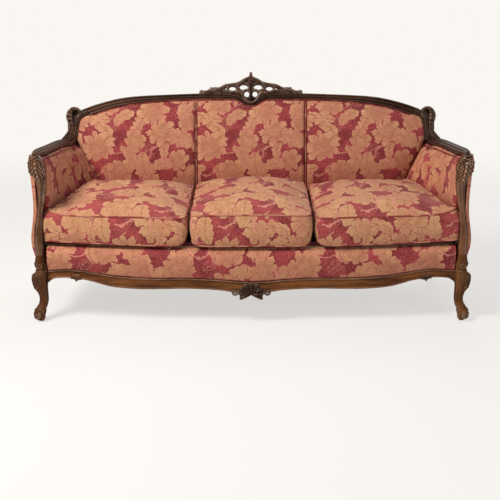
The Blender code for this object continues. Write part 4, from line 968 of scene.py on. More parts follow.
# Leaves on a stile's head: top, slide round the stile, lean, length, half width, thickness and lobes.
STILE_LEAVES = (
    (0.730, 0.00, 0.00, 0.128, 0.022, 0.0130, 7), (0.728, 0.62, 0.10, 0.084, 0.015, 0.0120, 5),
    (0.728, -0.62, -0.06, 0.098, 0.015, 0.0120, 5), (0.736, 0.30, 0.05, 0.048, 0.012, 0.0155, 4),
    (0.736, -0.30, -0.05, 0.048, 0.012, 0.0155, 4),
)


def make_arm_stile(name, side):
    """Serpentine stile of the arm: acanthus at its head, gadroons running down its inner edge."""
    tables = face_tables(STILE_FORM)
    shells = [column_shell(side, tables, stile_relief, 200)]

    def carrier(top, slide, lean=0.0):
        def on_stile(along, across, height):
            section = section_at(tables, top - along)
            turn = max(-1.5, min(1.5, slide + (across + lean * along) / section[2]))
            return section_point(section, side, top - along, FRONT_TURN + turn, height)
        return on_stile

    for top, slide, lean, length, width, thick, lobes in STILE_LEAVES:
        shells.append(leaf_shell(carrier(top, slide, lean), length, width, thick, lobes, 0.004, 64, 29, 0.35))
    path = [carrier(z, -0.78)(0.0, 0.0, -0.0005) for z in spread(0.645, 0.480, 90)]
    shells.append(gadroon_shell(path, 0.0068, 11))
    path = [carrier(z, 0.95)(0.0, 0.0, -0.0010) for z in spread(0.640, 0.330, 70)]
    shells.append(tube_shell(path, 0.0030, 8))
    add_piece(f"carved_stile_{name}", shells, STILE_WOOD, [f"arm_stile_{name}"], angle=60)


def gadroon_shell(path, radius, count):
    """A tapering rope of slanting lobes along a path."""
    rings, side = [], None
    for share in spread(0.0, 1.0, len(path) * 3):
        place = share * (len(path) - 1)
        low = min(int(place), len(path) - 2)
        point = path[low].lerp(path[low + 1], place - low)
        run = (path[low + 1] - path[low]).normalized()
        side = side or run.orthogonal()
        side = (side - run * side.dot(run)).normalized()
        up = run.cross(side)
        taper = math.sin(math.pi * (0.12 + 0.85 * share)) ** 0.7
        ring = []
        for turn in turns_round(20):
            lobe = abs(math.sin(share * count * math.pi + turn))
            size = radius * taper * (0.62 + 0.38 * lobe ** 0.6)
            ring.append(point + side * (size * math.cos(turn)) + up * (size * math.sin(turn)))
        rings.append(ring)
    return rings_shell(rings)


# Ridges of the show-wood moulding: direction round its section from its face, width and height.
MOULDING_RIDGES = ((0.00, 0.20, 0.0030), (0.62, 0.17, 0.0028), (-0.62, 0.17, 0.0028))
MOULDING_STEPS = 12
# The moulding's way from the arm to the crest: place across, rise along the back, depth behind its face.
RISE_WAY = (
    (0.889, 0.485, -0.0240), (0.877, 0.512, -0.0235), (0.871, 0.540, -0.0230), (0.8675, 0.568, -0.0225),
    (0.860, 0.590, -0.0210), (0.847, 0.6055, -0.0190), (0.832, 0.615, -0.0170), (0.818, 0.621, -0.0150),
)


def arm_rail_path(side):
    """Middle line of the moulding along the arm and up to the crest, and the direction of its face."""
    points = []
    for place, shift, drop in ARM_RAIL_SHARES:
        x = HALF_WIDTH - ARM_RAIL_WIDTH / 2 - shift * ARM_RAIL_WIDTH
        points.append(Vector((side * x, place * SEAT_DEPTH, ARM_TOP - ARM_RAIL_THICK / 2 - ARM_DIP * drop)))
    level = len(points) - 2.2
    points += [back_point(side * x, depth, rise) for x, rise, depth in RISE_WAY]
    path = smooth_path(points, MOULDING_STEPS)
    forward = Vector((0, -math.cos(BACK_LEAN), math.sin(BACK_LEAN)))
    upward = Vector((-side * 0.42, -0.30, 0.86))
    shares = (ease(clip((k / MOULDING_STEPS - level) / 1.6)) for k in range(len(path)))
    return path, [upward.lerp(forward, share).normalized() for share in shares]


def make_arm_rail(name, side):
    """Ridged moulding that runs along the arm, turns up the back's corner and joins the crest."""
    path, faces = arm_rail_path(side)
    rings = []
    for k, (place, face) in enumerate(zip(path, faces)):
        run = run_of(path, k)
        face = (face - run * face.dot(run)).normalized()
        across = run.cross(face)
        upright = window(k / (len(path) - 1), 0.52, 2.0, 0.14)
        width, thick = mix(0.0235, 0.0165, upright), mix(ARM_RAIL_THICK / 2, 0.0165, upright)
        lead = (place - path[0]).length
        nose = mix(0.50, 1.0, min(1.0, lead / 0.115) ** 0.8)
        nose *= mix(0.45, 1.0, math.sqrt(1 - max(0.0, 1 - lead / 0.012) ** 2))
        ring = []
        for turn in turns_round(72):
            c, s = superellipse(turn, 2.7)
            ahead = turn_apart(turn, math.pi / 2)
            lift = sum(high * bump_at(ahead, at, wide) for at, wide, high in MOULDING_RIDGES)
            lift = (lift - 0.0022 * (abs(ahead) < 1.1)) * min(1.0, lead / 0.03)
            ring.append(place + across * (c * (width + lift) * nose) + face * (s * (thick + lift) * nose))
        rings.append(ring)
    curl = [path[0] + Vector((side * across, -0.003, up * 0.95))
            for share, across, up in curl_way(0.0125, 0.62, 1.25, math.pi / 2, 40)]
    shells = [rings_shell(rings), tube_shell(curl, sizes_along(0.0046, 0.0024), 10)]
    add_piece(f"moulded_arm_rail_{name}", shells, WOOD_Y, [f"arm_rail_{name}"], angle=60)


def crest_setback(p):
    """Set-back of the crest rail's moulded face: p runs from its lower to its upper edge."""
    ridges = max(bump_at(p, at, 0.10) for at in (0.16, 0.50, 0.84))
    edge = max(0.0, abs(p - 0.5) - 0.40) / 0.10
    corner = 0.006 * max(0.0, 1 - min(p, 1 - p) / 0.10) ** 2
    return 0.0052 * (1 - ridges) + 0.009 * edge ** 2 + corner


def make_crest_rail():
    """Arched top rail with three beads along its face and a rounded top."""
    rings = []
    back = CREST_THICK - CREST_FRONT
    for x in spread(-CREST_END, CREST_END, 240):
        low, high = crest_lower(x), crest_upper(x)
        section = [(crest_setback(p) - CREST_FRONT, mix(low, high, p)) for p in spread(0.0, 1.0, 33)]
        for share in spread(0.0, 1.0, 9)[1:-1]:
            section.append((mix(-0.010, back - 0.008, share), high - 0.0015 * math.sin(math.pi * share)))
        section += [(back - 0.003, high - 0.002), (back, high - 0.007)]
        section += [(back, low + 0.007), (back - 0.004, low)]
        section += [(depth, low) for depth in spread(back - 0.01, -0.012, 4)]
        rings.append([back_point(x, depth, rise) for depth, rise in section])
    add_piece("moulded_crest_rail", [rings_shell(rings)], WOOD_X, ["crest_rail"], angle=60)


# The ribbon of an ear from its eye outwards and down to the arm: place across and rise from the ear's middle,
# and half width.
RIBBON = (
    (-0.010, -0.022, 0.0060), (-0.020, -0.010, 0.0065), (-0.020, 0.008, 0.0070), (-0.008, 0.021, 0.0075),
    (0.008, 0.024, 0.0085), (0.023, 0.015, 0.0115), (0.031, -0.002, 0.0155), (0.032, -0.022, 0.0170),
    (0.028, -0.042, 0.0145), (0.024, -0.060, 0.0110), (0.025, -0.078, 0.0110), (0.032, -0.096, 0.0130),
    (0.044, -0.112, 0.0135), (0.057, -0.124, 0.0115), (0.069, -0.132, 0.0085),
)
# The core under the ribbon: place across and rise from the ear's middle.
RIBBON_CORE = ((0.004, 0.0), (0.014, -0.022), (0.013, -0.050), (0.014, -0.085), (0.024, -0.110))
# The ear's barrel from its rear end to its front: place along it, and radius over the ear's.
BARREL = (
    (0.0, 0.30), (0.03, 0.72), (0.08, 0.86), (0.30, 0.82), (0.50, 0.80), (0.80, 0.84), (0.92, 0.80),
    (1.0, 0.55),
)


def make_ear(name, side):
    """Volute at the crest's end: a barrel whose fluted ribbon curls out and falls to the arm rail."""
    def ear_point(x, rise, depth):
        return back_point(side * (EAR_X + x), depth, EAR_HEIGHT + rise)

    rings = []
    for place in spread(0.0, 1.0, 40):
        reach, depth = follow(BARREL, place) * EAR_RADIUS, mix(EAR_LENGTH - EAR_FRONT, -0.010, place)
        ring = []
        for turn in turns_round(64):
            size = reach + 0.0014 * math.cos(turn * 9 + place * 5.0) * math.sin(math.pi * place) ** 0.5
            ring.append(ear_point(size * math.cos(turn), size * math.sin(turn), depth))
        rings.append(ring)
    core = smooth_path([ear_point(x, rise, 0.006) for x, rise in RIBBON_CORE], 8)
    shells = [rings_shell(rings),
              tube_shell(core, lambda share: 0.0195 * math.sqrt(max(0.05, 1 - (2 * share - 1) ** 8)), 16)]
    way = smooth_path([Vector(row) for row in RIBBON], 14)
    rings = []
    for k, (x, rise, reach) in enumerate(way):
        share = k / (len(way) - 1)
        run = run_of(way, k)
        run = Vector((run.x, run.y)).normalized()
        ribs = 0.5 + 0.5 * math.cos(math.tau * 13 * share) * (0.3 + 0.7 * window(share, 0.25, 0.70, 0.2))
        size = reach * (0.94 + 0.06 * ribs)
        ring = []
        for turn in turns_round(28):
            c, s = superellipse(turn, 2.4)
            lift = 1 + 0.12 * (ribs - 0.5) - 0.16 * bump_at(turn_apart(turn, math.pi / 2), 0.0, 0.5)
            depth = -0.030 - s * mix(0.016, 0.010, share) * lift
            ring.append(ear_point(x - run.y * c * size, rise + run.x * c * size, depth))
        rings.append(ring)
    shells.append(rings_shell(rings))
    add_piece(f"carved_ear_{name}", shells, CARVED_Y, [f"ear_scroll_{name}"], angle=60)


def board_shell(outlines, thick, place, rounding):
    """A flat board with holes, as points and faces. Place turns (x, rise, depth) into the layout frame."""
    curve = bpy.data.curves.new("outline", "CURVE")
    curve.dimensions = "2D"
    curve.fill_mode = "BOTH"
    curve.extrude = thick / 2 - rounding
    curve.bevel_depth = rounding
    curve.bevel_resolution = 2
    for outline in outlines:
        line = curve.splines.new("POLY")
        line.points.add(len(outline) - 1)
        line.use_cyclic_u = True
        for point, (x, rise) in zip(line.points, outline):
            point.co = (x, rise, 0.0, 1.0)
    item = bpy.data.objects.new("outline", curve)
    mesh = item.to_mesh()
    points = [place(*point.co) for point in mesh.vertices]
    faces = [tuple(face.vertices) for face in mesh.polygons]
    item.to_mesh_clear()
    bpy.data.objects.remove(item)
    bpy.data.curves.remove(curve)
    return points, faces


CARVING_OUTLINE = (
    (1.000, 0.02), (0.990, 0.12), (0.955, 0.14), (0.925, 0.08), (0.870, 0.09), (0.805, 0.20), (0.730, 0.27),
    (0.650, 0.26), (0.600, 0.28), (0.540, 0.37), (0.470, 0.41), (0.360, 0.42), (0.300, 0.40), (0.275, 0.48),
    (0.235, 0.49), (0.175, 0.60), (0.100, 0.71), (0.040, 0.78), (0.018, 0.82), (0.014, 0.92), (0.008, 0.99),
)
# Holes through the carving: middle and half sizes, as shares of its half width and height.
PIERCING_SHARES = (
    (0.140, 0.290, 0.098, 0.150), (0.080, -0.035, 0.066, 0.165), (0.362, 0.225, 0.082, 0.130),
    (0.492, 0.215, 0.030, 0.075),
)
CARVING_FACE = -0.0030
CARVING_THICK = 0.026
CARVING_MIDDLE = 0.0125
# The finial's profile: height as a share of the carving's, and radius.
FINIAL = (
    (0.66, 0.0090), (0.73, 0.0070), (0.79, 0.0040), (0.84, 0.0036), (0.875, 0.0040), (0.895, 0.0070),
    (0.91, 0.0070), (0.925, 0.0038), (0.96, 0.0032), (0.985, 0.0016),
)


def curl_points(u, v, reach, turns, first):
    """A shrinking curl round (u, v), as shares of the carving's half width and height."""
    rise = CARVING_HALF_WIDTH / CARVING_HEIGHT
    return tuple((u + across, v + up * rise) for share, across, up in curl_way(reach, 0.82, turns, first, 14))


WING = (
    (0.225, 0.50), (0.30, 0.46), (0.40, 0.42), (0.50, 0.38), (0.58, 0.28), (0.66, 0.20), (0.78, 0.17),
    (0.88, 0.08),
)
# Strands over the carving's right half: their points as shares, sizes along them, and how proud they stand.
STRANDS = (
    (WING + curl_points(0.955, 0.075, 0.032, 1.2, math.pi), (0.0058, 0.0060, 0.0034), 0.004),
    (((0.26, 0.50), (0.21, 0.53), (0.15, 0.62), (0.085, 0.71), (0.02, 0.78)),
     (0.0050, 0.0062, 0.0042), 0.004),
    (((0.30, 0.02), (0.22, 0.06), (0.17, -0.06), (0.13, -0.24), (0.07, -0.40), (0.0, -0.46)),
     (0.0058, 0.0062, 0.0050), 0.019),
    (((0.245, 0.44), *curl_points(0.245, 0.46, 0.030, 1.1, -1.2)), (0.0055, 0.0045, 0.0030), 0.006),
    (((0.02, 0.08), (0.06, 0.12), (0.04, 0.24), (0.02, 0.42), (0.05, 0.56)), (0.0045, 0.0050, 0.0036), 0.004),
)
# Leaves over its right half: foot, tip, half width, thickness, lobes, and how far they bow sideways.
CREST_LEAVES = (
    ((0.54, 0.16), (0.86, 0.13), 0.017, 0.011, 6, 0.10), ((0.56, 0.24), (0.80, 0.30), 0.010, 0.010, 4, 0.16),
    ((0.50, 0.34), (0.68, 0.22), 0.008, 0.009, 4, 0.10), ((0.80, 0.06), (0.97, 0.04), 0.009, 0.007, 4, 0.0),
    ((0.22, 0.44), (0.08, 0.70), 0.010, 0.010, 5, -0.1), ((0.05, 0.45), (0.02, 0.74), 0.009, 0.010, 4, 0.0),
)


def carving_point(u, v, depth):
    """Place on the crest's carving, as shares of its half width and height, in front of its face."""
    return back_point(u * CARVING_HALF_WIDTH, CARVING_FACE - depth, CREST_HEIGHT + v * CARVING_HEIGHT)


def carved_run(points, radii, proud, side, steps=8):
    """A carved strand over the face: points are shares, radii its sizes along the way."""
    path = smooth_path([carving_point(side * u, v, proud) for u, v in points], steps)
    square = Vector((0, math.cos(BACK_LEAN), -math.sin(BACK_LEAN)))
    return tube_shell(path, sizes_along(*radii), 10, flatten=(square, 0.75))


def carved_leaf(start, end, width, thick, lobes, bend=0.0, side=1, proud=0.0):
    """An acanthus leaf over the face from one place to another; bend bows it sideways."""
    foot, tip = (carving_point(side * u, v, proud) for u, v in (start, end))
    length, run = (tip - foot).length, (tip - foot).normalized()
    square = Vector((0, -math.cos(BACK_LEAN), math.sin(BACK_LEAN)))
    beside = run.cross(square).normalized() * side

    def carrier(along, across, height):
        sway = bend * length * math.sin(math.pi * along / length)
        return foot + run * along + beside * (across + sway) + square * height

    return leaf_shell(carrier, length, width, thick, lobes, 0.010)


def make_crest_carving():
    """Pierced cartouche of scrolls and leaves with a finial, standing on the crest rail."""
    half = [(x * CARVING_HALF_WIDTH, CREST_HEIGHT + z * CARVING_HEIGHT) for x, z in CARVING_OUTLINE]
    stations = [x for x in spread(-CREST_END, CREST_END, 45) if abs(x) < CARVING_HALF_WIDTH]
    outlines = [half + [(-x, z) for x, z in half[::-1]] + [(x, crest_upper(x) + 3 * GAP) for x in stations]]
    for u, v, half_u, half_v in PIERCING_SHARES:
        for side in SIDES.values():
            outlines.append([(CARVING_HALF_WIDTH * (side * u + half_u * math.cos(turn)),
                              CREST_HEIGHT + CARVING_HEIGHT * (v + half_v * math.sin(turn)))
                             for turn in turns_round(32)])

    def place(x, rise, depth):
        return back_point(x, CARVING_MIDDLE + depth, rise)

    shells = [board_shell(outlines, CARVING_THICK, place, 0.004)]
    for side in SIDES.values():
        for u, v, half_u, half_v in PIERCING_SHARES:
            ring = [(u + (half_u + 0.018) * math.cos(turn), v + (half_v + 0.045) * math.sin(turn))
                    for turn in spread(0.0, math.tau, 27)]
            size = 0.0048 if half_u > 0.05 else 0.0034
            shells.append(carved_run(ring, (size, size * 0.9, size), 0.002, side, 2))
        shells += [carved_run(points, radii, proud, side) for points, radii, proud in STRANDS]
        shells += [carved_leaf(*leaf, side) for leaf in CREST_LEAVES]
    shells.append(carved_leaf((0.0, -0.34), (0.0, 0.24), 0.010, 0.020, 6, proud=0.010))
    shells.append(carved_leaf((0.0, 0.30), (0.0, 0.72), 0.012, 0.014, 5))
    rings = []
    for v, reach in FINIAL:
        centre = carving_point(0.0, v, -0.011)
        rings.append([centre + Vector((reach * math.cos(turn), reach * 1.2 * math.sin(turn), 0))
                      for turn in turns_round(20)])
    shells.append(rings_shell(rings))
    add_piece("carved_crest", shells, CARVED_X, ["crest_carving"], angle=60)


def apron_setback(p):
    """Set-back of the apron's moulded face: a bead along each edge and a hollow between."""
    beads = max(bump_at(p, 0.10, 0.10), 0.85 * bump_at(p, 0.90, 0.08), 0.35 * bump_at(p, 0.42, 0.20))
    return 0.0058 * (1 - beads) + 0.004 * max(0.0, 1 - min(p, 1 - p) / 0.10) ** 2


APRON_END = 0.901
APRON_EASE = 0.858
DRIP_LEAVES = ((0.0, 0.034, 0.008), (0.70, 0.028, 0.007), (-0.70, 0.028, 0.007))


def make_apron():
    """Serpentine apron with beaded edges, and three leaves on each drip."""
    stations = set(spread(-APRON_END, APRON_END, 240))
    stations |= {side * (DRIP_X + k * DRIP_HALF_WIDTH / 6) for side in (-1, 1) for k in range(-6, 7)}
    rings = []
    for x in sorted(stations):
        near = min(FRONT_HALF, abs(x))
        front, low, high = bow_line(near), apron_bottom(x), apron_top(near)
        low -= 0.020 * max(0.0, (abs(x) - APRON_EASE) / (APRON_END - APRON_EASE)) ** 2.2
        section = [(front + apron_setback(p), mix(low, high, p)) for p in spread(0.0, 1.0, 25)]
        section += [(front + APRON_THICK, high), (front + APRON_THICK, low)]
        rings.append([Vector((x, y, z)) for y, z in section])
    add_piece("moulded_apron", [rings_shell(rings)], APRON_WOOD, ["front_apron"], angle=60)

    def carrier(side, lean):
        foot = Vector((side * DRIP_X + 0.008 * lean, bow_line(DRIP_X), apron_bottom(DRIP_X) + 0.030))
        run = Vector((math.sin(lean), 0, -math.cos(lean)))

        def on_apron(along, across, height):
            place = foot + run * along + Vector((run.z, 0, -run.x)) * across
            return Vector((place.x, bow_line(place.x) - height + 0.001, place.z))
        return on_apron

    leaves = [leaf_shell(carrier(side, lean), length, width, 0.0065, 4, 0.006)
              for side in SIDES.values() for lean, length, width in DRIP_LEAVES]
    add_piece("apron_leaves", leaves, CARVED_Z, angle=60)


SHELL_HEIGHT, SHELL_THICK = 0.080, 0.014
BUTTON_PROFILE = ((0.0055, -0.003), (0.0055, 0.002), (0.0035, 0.0045), (0.001, 0.0052))


def make_apron_shell():
    """Fluted shell with a scroll on each side, in the middle of the apron."""
    low = apron_bottom(0) - 0.25 * SHELL_HEIGHT
    face = bow_line(0) - 2 * GAP
    middle = Vector((0, face, low + 0.016))

    def pair(share, turn):
        scallop = abs(math.cos((turn - math.pi / 2) * 6.5))
        reach = mix(0.052, 0.060, max(0.0, math.sin(turn))) * (0.90 + 0.10 * scallop)
        dome = math.sin(math.pi * min(1.0, 0.12 + 0.88 * share)) ** 0.6
        height = SHELL_THICK * (0.35 + 0.65 * dome) * (0.62 + 0.38 * scallop * min(1.0, 2 * share))
        across, up = math.cos(turn) * reach * share * 1.05, math.sin(turn) * reach * share * 0.95
        return middle + Vector((across, -height, up)), middle + Vector((across, 0, up))

    shells = [grid_shell(spread(0.0, 1.0, 22), spread(math.radians(-28), math.radians(208), 91), pair)]
    for side in SIDES.values():
        heart = Vector((side * 0.072, face - 0.005, low + 0.030))
        way = curl_way(0.017, 13 / 17, side * 1.3, math.pi / 2 + side * 0.9, 40, 0.8)
        path = [heart + Vector((across, 0, up)) for share, across, up in way]
        shells.append(tube_shell(path, sizes_along(0.0052, 0.0028), 10))
        button = [[heart + Vector((size * math.cos(turn), 0.001 - lift, size * math.sin(turn)))
                   for turn in turns_round(20)] for size, lift in BUTTON_PROFILE]
        shells.append(rings_shell(button))
    add_piece("carved_apron_shell", shells, WOOD_X, ["apron_carving"], angle=60)


# Upholstery.

def soft_noise(x, y, z, scale):
    """Smooth folds between -1 and 1."""
    return noise.fractal(Vector((x, y, z)) * scale, 1.0, 2.0, 3)


def chart_by(function):
    """A chart from a function of arrays x, y and z."""
    return lambda places, normals: np.stack(function(*places.T), axis=1)


def rise_of(y, z):
    """Rise along the back, for arrays."""
    return (y - SEAT_DEPTH) * math.sin(BACK_LEAN) + (z - RAIL_BOTTOM) * math.cos(BACK_LEAN)


def quarter_round(share):
    """Rise of a quarter circle, 0 to 1, over a share of its width."""
    return math.sqrt(max(0.0, 1 - (1 - share) ** 2))


def seat_middle(seat):
    """Middle of a seat's back section across the sofa."""
    return seat * (SEAM_X + 0.285)


def back_pad_thickness(across, up, open_side):
    """Stuffing over its webbing: full low down, easing to its edge at the crest and at the outer side."""
    fall = max(0.0, up) ** 3
    loss = abs(across) ** 4 * (BACK_PAD_INNER_SHARE if across * open_side <= 0 else BACK_PAD_OUTER_SHARE)
    return mix(BACK_PAD_CROWN, BACK_PAD_EDGE, min(1.0, fall + loss - fall * loss))


def make_back_pads():
    """Three tight sections of the inside back, and the cords in the two seams between them."""
    bottom = along_back(DECK_TOP) + 2 * GAP
    seam = SEAM_CORD_RADIUS + GAP
    for name, seat in SEATS.items():
        def pair(up, across, seat=seat):
            x = across * (SEAM_X - seam)
            rise = mix(bottom, CREST_HEIGHT, (up + 1) / 2)
            for settle in range(4):
                if seat:
                    x = seat * mix(SEAM_X + seam, back_pad_outer(rise) + 0.016, (across * seat + 1) / 2)
                top = crest_lower(x) - BACK_PAD_EASE / 3 + 0.016 * window(abs(x), 0.80, 2.0, 0.05)
                rise = mix(bottom, top, (up + 1) / 2)
            thick = back_pad_thickness(across, up, seat)
            roll = quarter_round(min((1 - abs(across)) * 0.27, (1 - up) * 0.29, 0.016) / 0.016)
            folds = 0.0022 * soft_noise(x, rise, 0.3, 5.0) + 0.0008 * soft_noise(x, rise * 2.2, 4.3, 18.0)
            depth = -WEB_DEPTH - mix(thick - 0.012, thick, roll) - folds * roll
            return back_point(x, depth, rise), back_point(x, -WEB_DEPTH, rise)

        shell = grid_shell(spread(-1, 1, 70), spread(-1, 1, 58), pair)
        chart = chart_by(lambda x, y, z, seat=seat: (x - seat_middle(seat), rise_of(y, z)))
        pad = add_piece(f"back_pad_{name}", [shell], BACK_FABRIC, [f"inside_back_{name}"],
                        chart=chart)
    top = crest_lower(SEAM_X) - SEAM_CORD_RADIUS - 2 * GAP
    for name, side in SIDES.items():
        path = []
        for up in spread(-1.0, 1.0, 60):
            depth = 0.004 - WEB_DEPTH - back_pad_thickness(1.0, up, 0)
            path.append(back_point(side * SEAM_X, depth, mix(bottom + SEAM_CORD_RADIUS, top, (up + 1) / 2)))
        cord = tube_shell(path, SEAM_CORD_RADIUS)
        add_piece(f"back_cord_{name}", [cord], WELT, [f"back_welt_{name}"])


def make_inside_arm(name, side):
    """Stuffed arm pad that sweeps round to the back, with soft pleats near the corner."""
    start = STILE_BACK - 0.012
    outer = FRAME_INNER - GAP

    def pair(share, level):
        under = arm_rail_middle(mix(start, back_plane(ARM_TOP), share))
        z = mix(DECK_TOP + GAP, under - ARM_RAIL_THICK / 2 + 0.004, level)
        inner = arm_pad_inner(mix(start, SEAT_DEPTH, share), z)
        y = mix(start, back_plane(z, -WEB_DEPTH), share)
        tuck = 0.55 * max(0.0, (level - 0.86) / 0.14) ** 2
        roll = 0.008 * max(0.0, 1 - (y - start) / 0.014) ** 2
        depth = clip((share - 0.34) / 0.22) * min(1.0, 4.0 * (1 - level)) * min(1.0, 0.35 + level)
        pleats = 0.0125 * depth * (abs(math.sin(share * 40 + 3.0 * level * share)) ** 0.5 - 0.55)
        folds = 0.0026 * soft_noise(y, z, side * 2.0, 6.0) + 0.0010 * soft_noise(y, z * 0.5, side * 2.0, 19.0)
        face = mix(inner, outer, tuck) + roll - folds - pleats
        return Vector((side * face, y, z)), Vector((side * outer, y, z))

    shell = grid_shell(spread(0.0, 1.0, 110), spread(0.0, 1.0, 60), pair)
    pad = add_piece(f"arm_pad_{name}", [shell], ARM_FABRIC, [f"inside_arm_{name}"],
                    chart=chart_by(lambda x, y, z: (y, z)))


def make_outside_arm(name, side):
    """Covered outside of the arm: it wraps round behind the stile, whose serpentine it follows in front."""
    start, wrap = 0.006, 0.16

    def pair(t, s):
        guess = mix(APRON_TOP, arm_rail_middle(mix(STILE_BACK, SEAT_DEPTH, s)) - ARM_RAIL_THICK / 2, t)
        end = back_plane(min(guess, arm_rail_middle(SEAT_DEPTH) - POST_THICK), POST_THICK)
        y = mix(start, end, s)
        under = arm_rail_middle(min(max(y, STILE_BACK), SEAT_DEPTH)) - ARM_RAIL_THICK / 2 + 0.004
        z = mix(APRON_TOP, under, t)
        crown = min(1.0, 48 * s * (1 - s) * t * (1 - t) / 3)
        panel = HALF_WIDTH - 0.0035 + 0.0035 * crown
        x = mix(follow(ARM_OUTLINE, z), panel, ease(clip((y - start) / wrap)))
        x -= 0.014 * (1 - quarter_round(min(1.0, (y - start) / 0.016)))
        x += 0.0008 * soft_noise(y, z, side * 3.0, 7.0)
        return Vector((side * x, y, z)), Vector((side * (HALF_WIDTH - ARM_PANEL_THICK - 0.006), y, z))

    stations = [0.0, 0.004, 0.010, 0.018, 0.028, 0.040] + spread(0.055, 1.0, 52)
    shell = grid_shell(spread(0.0, 1.0, 70), stations, pair)
    cover = add_piece(f"outer_arm_cover_{name}", [shell], FABRIC, [f"outside_arm_{name}"],
                      chart=chart_by(lambda x, y, z: (y + 0.12, z)))


def make_outside_back():
    """Covered rear of the back, with a slight crown."""
    shoulder = 0.74 * (EAR_HEIGHT - EAR_RADIUS)
    slope = max(0.001, crest_lower(CREST_END) - 2 * GAP - shoulder)

    def pair(t, s):
        x = s * FRAME_OUTER
        for settle in range(4):
            rise = mix(0.0, crest_lower(min(CREST_END, abs(x))) - 2 * GAP, t)
            out = mix(FRAME_OUTER, CREST_END, max(0.0, rise - shoulder) / slope)
            x = s * max(out, CREST_END)
        crown = min(1.0, 6 * (1 - abs(s))) * min(1.0, 8 * t * (1 - t))
        depth = POST_THICK + GAP + BACK_CLOTH_THICK * mix(0.45, 1.0, crown)
        return back_point(x, depth, rise), back_point(x, POST_THICK + GAP, rise)

    shell = grid_shell(spread(0.0, 1.0, 60), spread(-1.0, 1.0, 90), pair)
    cover = add_piece("outer_back_cover", [shell], FABRIC, ["outside_back"],
                      chart=chart_by(lambda x, y, z: (-x, rise_of(y, z))))


# The border's section: share of its height, and reach over its swell.
BORDER_PROFILE = (
    (0.00, 0.20), (0.06, -0.15), (0.25, -0.62), (0.50, -1.00), (0.75, -0.92), (0.88, -0.40), (0.95, 0.50),
    (0.985, 1.40), (1.00, 2.20),
)


def seat_droop(x, ends, middle):
    """How far the seat's front line sinks: ends at the arms, middle between them."""
    return mix(middle, ends, min(1.0, abs(x) / FRONT_HALF) ** 3)


def make_border():
    """Stuffed roll between the apron and the loose cushions, and the cord along its foot."""
    rings = []
    for x in spread(-FRONT_HALF, FRONT_HALF, 240):
        front, low, high = bow_line(x), apron_top(x) + GAP, DECK_TOP - seat_droop(x, 0.021, 0.031)
        section = [(front + APRON_THICK, low)]
        for rise in spread(0.0, 1.0, 26):
            dents = 0.0022 * soft_noise(x, 0.2, 0.9, 9.0) + 0.0010 * soft_noise(x, rise * 0.1, 5.0, 24.0)
            reach = BORDER_SWELL * follow(BORDER_PROFILE, rise) + dents * math.sin(math.pi * rise)
            section.append((front + reach, mix(low, high, rise)))
        section.append((front + APRON_THICK, RAIL_TOP + 0.002))
        rings.append([Vector((x, y, z)) for y, z in section])
    roll = add_piece("seat_border", [rings_shell(rings)], FABRIC, ["front_border"],
                     chart=chart_by(lambda x, y, z: (x, z)))
    path = [Vector((x, bow_line(x) + 0.0030, apron_top(x) + 0.0038))
            for x in spread(-FRONT_HALF + 0.004, FRONT_HALF - 0.004, 200)]
    add_piece("border_trim", [tube_shell(path, 0.0036, 10)], TRIM)


def make_trims():
    """Cords that hide the cover's edge: two along the crest rail and one under each arm rail."""
    lines = []
    for back, drop in ((0.002, 0.0035), (0.003, 0.0100)):
        path = [back_point(x, back - CREST_FRONT, crest_lower(x) - drop)
                for x in spread(-CREST_END + 0.03, CREST_END - 0.03, 160)]
        lines.append(tube_shell(path, 0.0036, 10))
    for side in SIDES.values():
        path = []
        for y in spread(STILE_BACK + 0.006, SEAT_DEPTH - 0.012, 60):
            x, z = arm_pad_inner(y, ARM_TOP - 0.08) + 0.010, arm_rail_middle(y) - ARM_RAIL_THICK / 2 - 0.0010
            path.append(Vector((side * x, y, z)))
        lines.append(tube_shell(path, 0.0034, 10))
    add_piece("cover_trims", lines, TRIM)


def layer_shell(node, setback, rear):
    """A level layer of the seat over a node's height, whose front edge follows the bow."""
    low, high = (corner.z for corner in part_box(node))

    def pair(t, x):
        y = mix(bow_line(x) + setback, rear, t)
        return Vector((x, y, high)), Vector((x, y, low))

    return grid_shell(spread(0.0, 1.0, 24), spread(-FRONT_HALF, FRONT_HALF, 60), pair)


def make_seat_layers():
    """The deck's cover under the cushions, the dust cloth below the seat, and the springs' burlap."""
    front, rear = APRON_THICK + GAP, back_plane(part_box("deck_pad")[0].z) - 3 * GAP
    layer = layer_shell("deck_pad", front, rear)
    deck = add_piece("deck_cover", [layer], DECKING, ["deck_pad"])
    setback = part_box("dust_cover")[0].y - SHIFT + BOW_DEPTH
    layer = layer_shell("dust_cover", setback, SEAT_DEPTH - 2 * GAP)
    dust = add_piece("underside_cloth", [layer], DUST, ["dust_cover"])
    layer = layer_shell("seat_burlap", front, rear)
    burlap = add_piece("spring_burlap", [layer], BURLAP, ["seat_burlap"])


WEB_WIDTH, WEB_STRAP_THICK, WEB_COLUMNS, WEB_ROWS = 0.050, 0.0012, 10, 3


def strap_shell(path, across, square):
    """A flat strap along a path, with soft edges."""
    half, lip = WEB_WIDTH / 2, WEB_STRAP_THICK / 2
    section = ((-half, 0.0), (-half + lip, lip), (half - lip, lip),
               (half, 0.0), (half - lip, -lip), (-half + lip, -lip))
    return rings_shell([[place + across * u + square * v for u, v in section] for place in path])


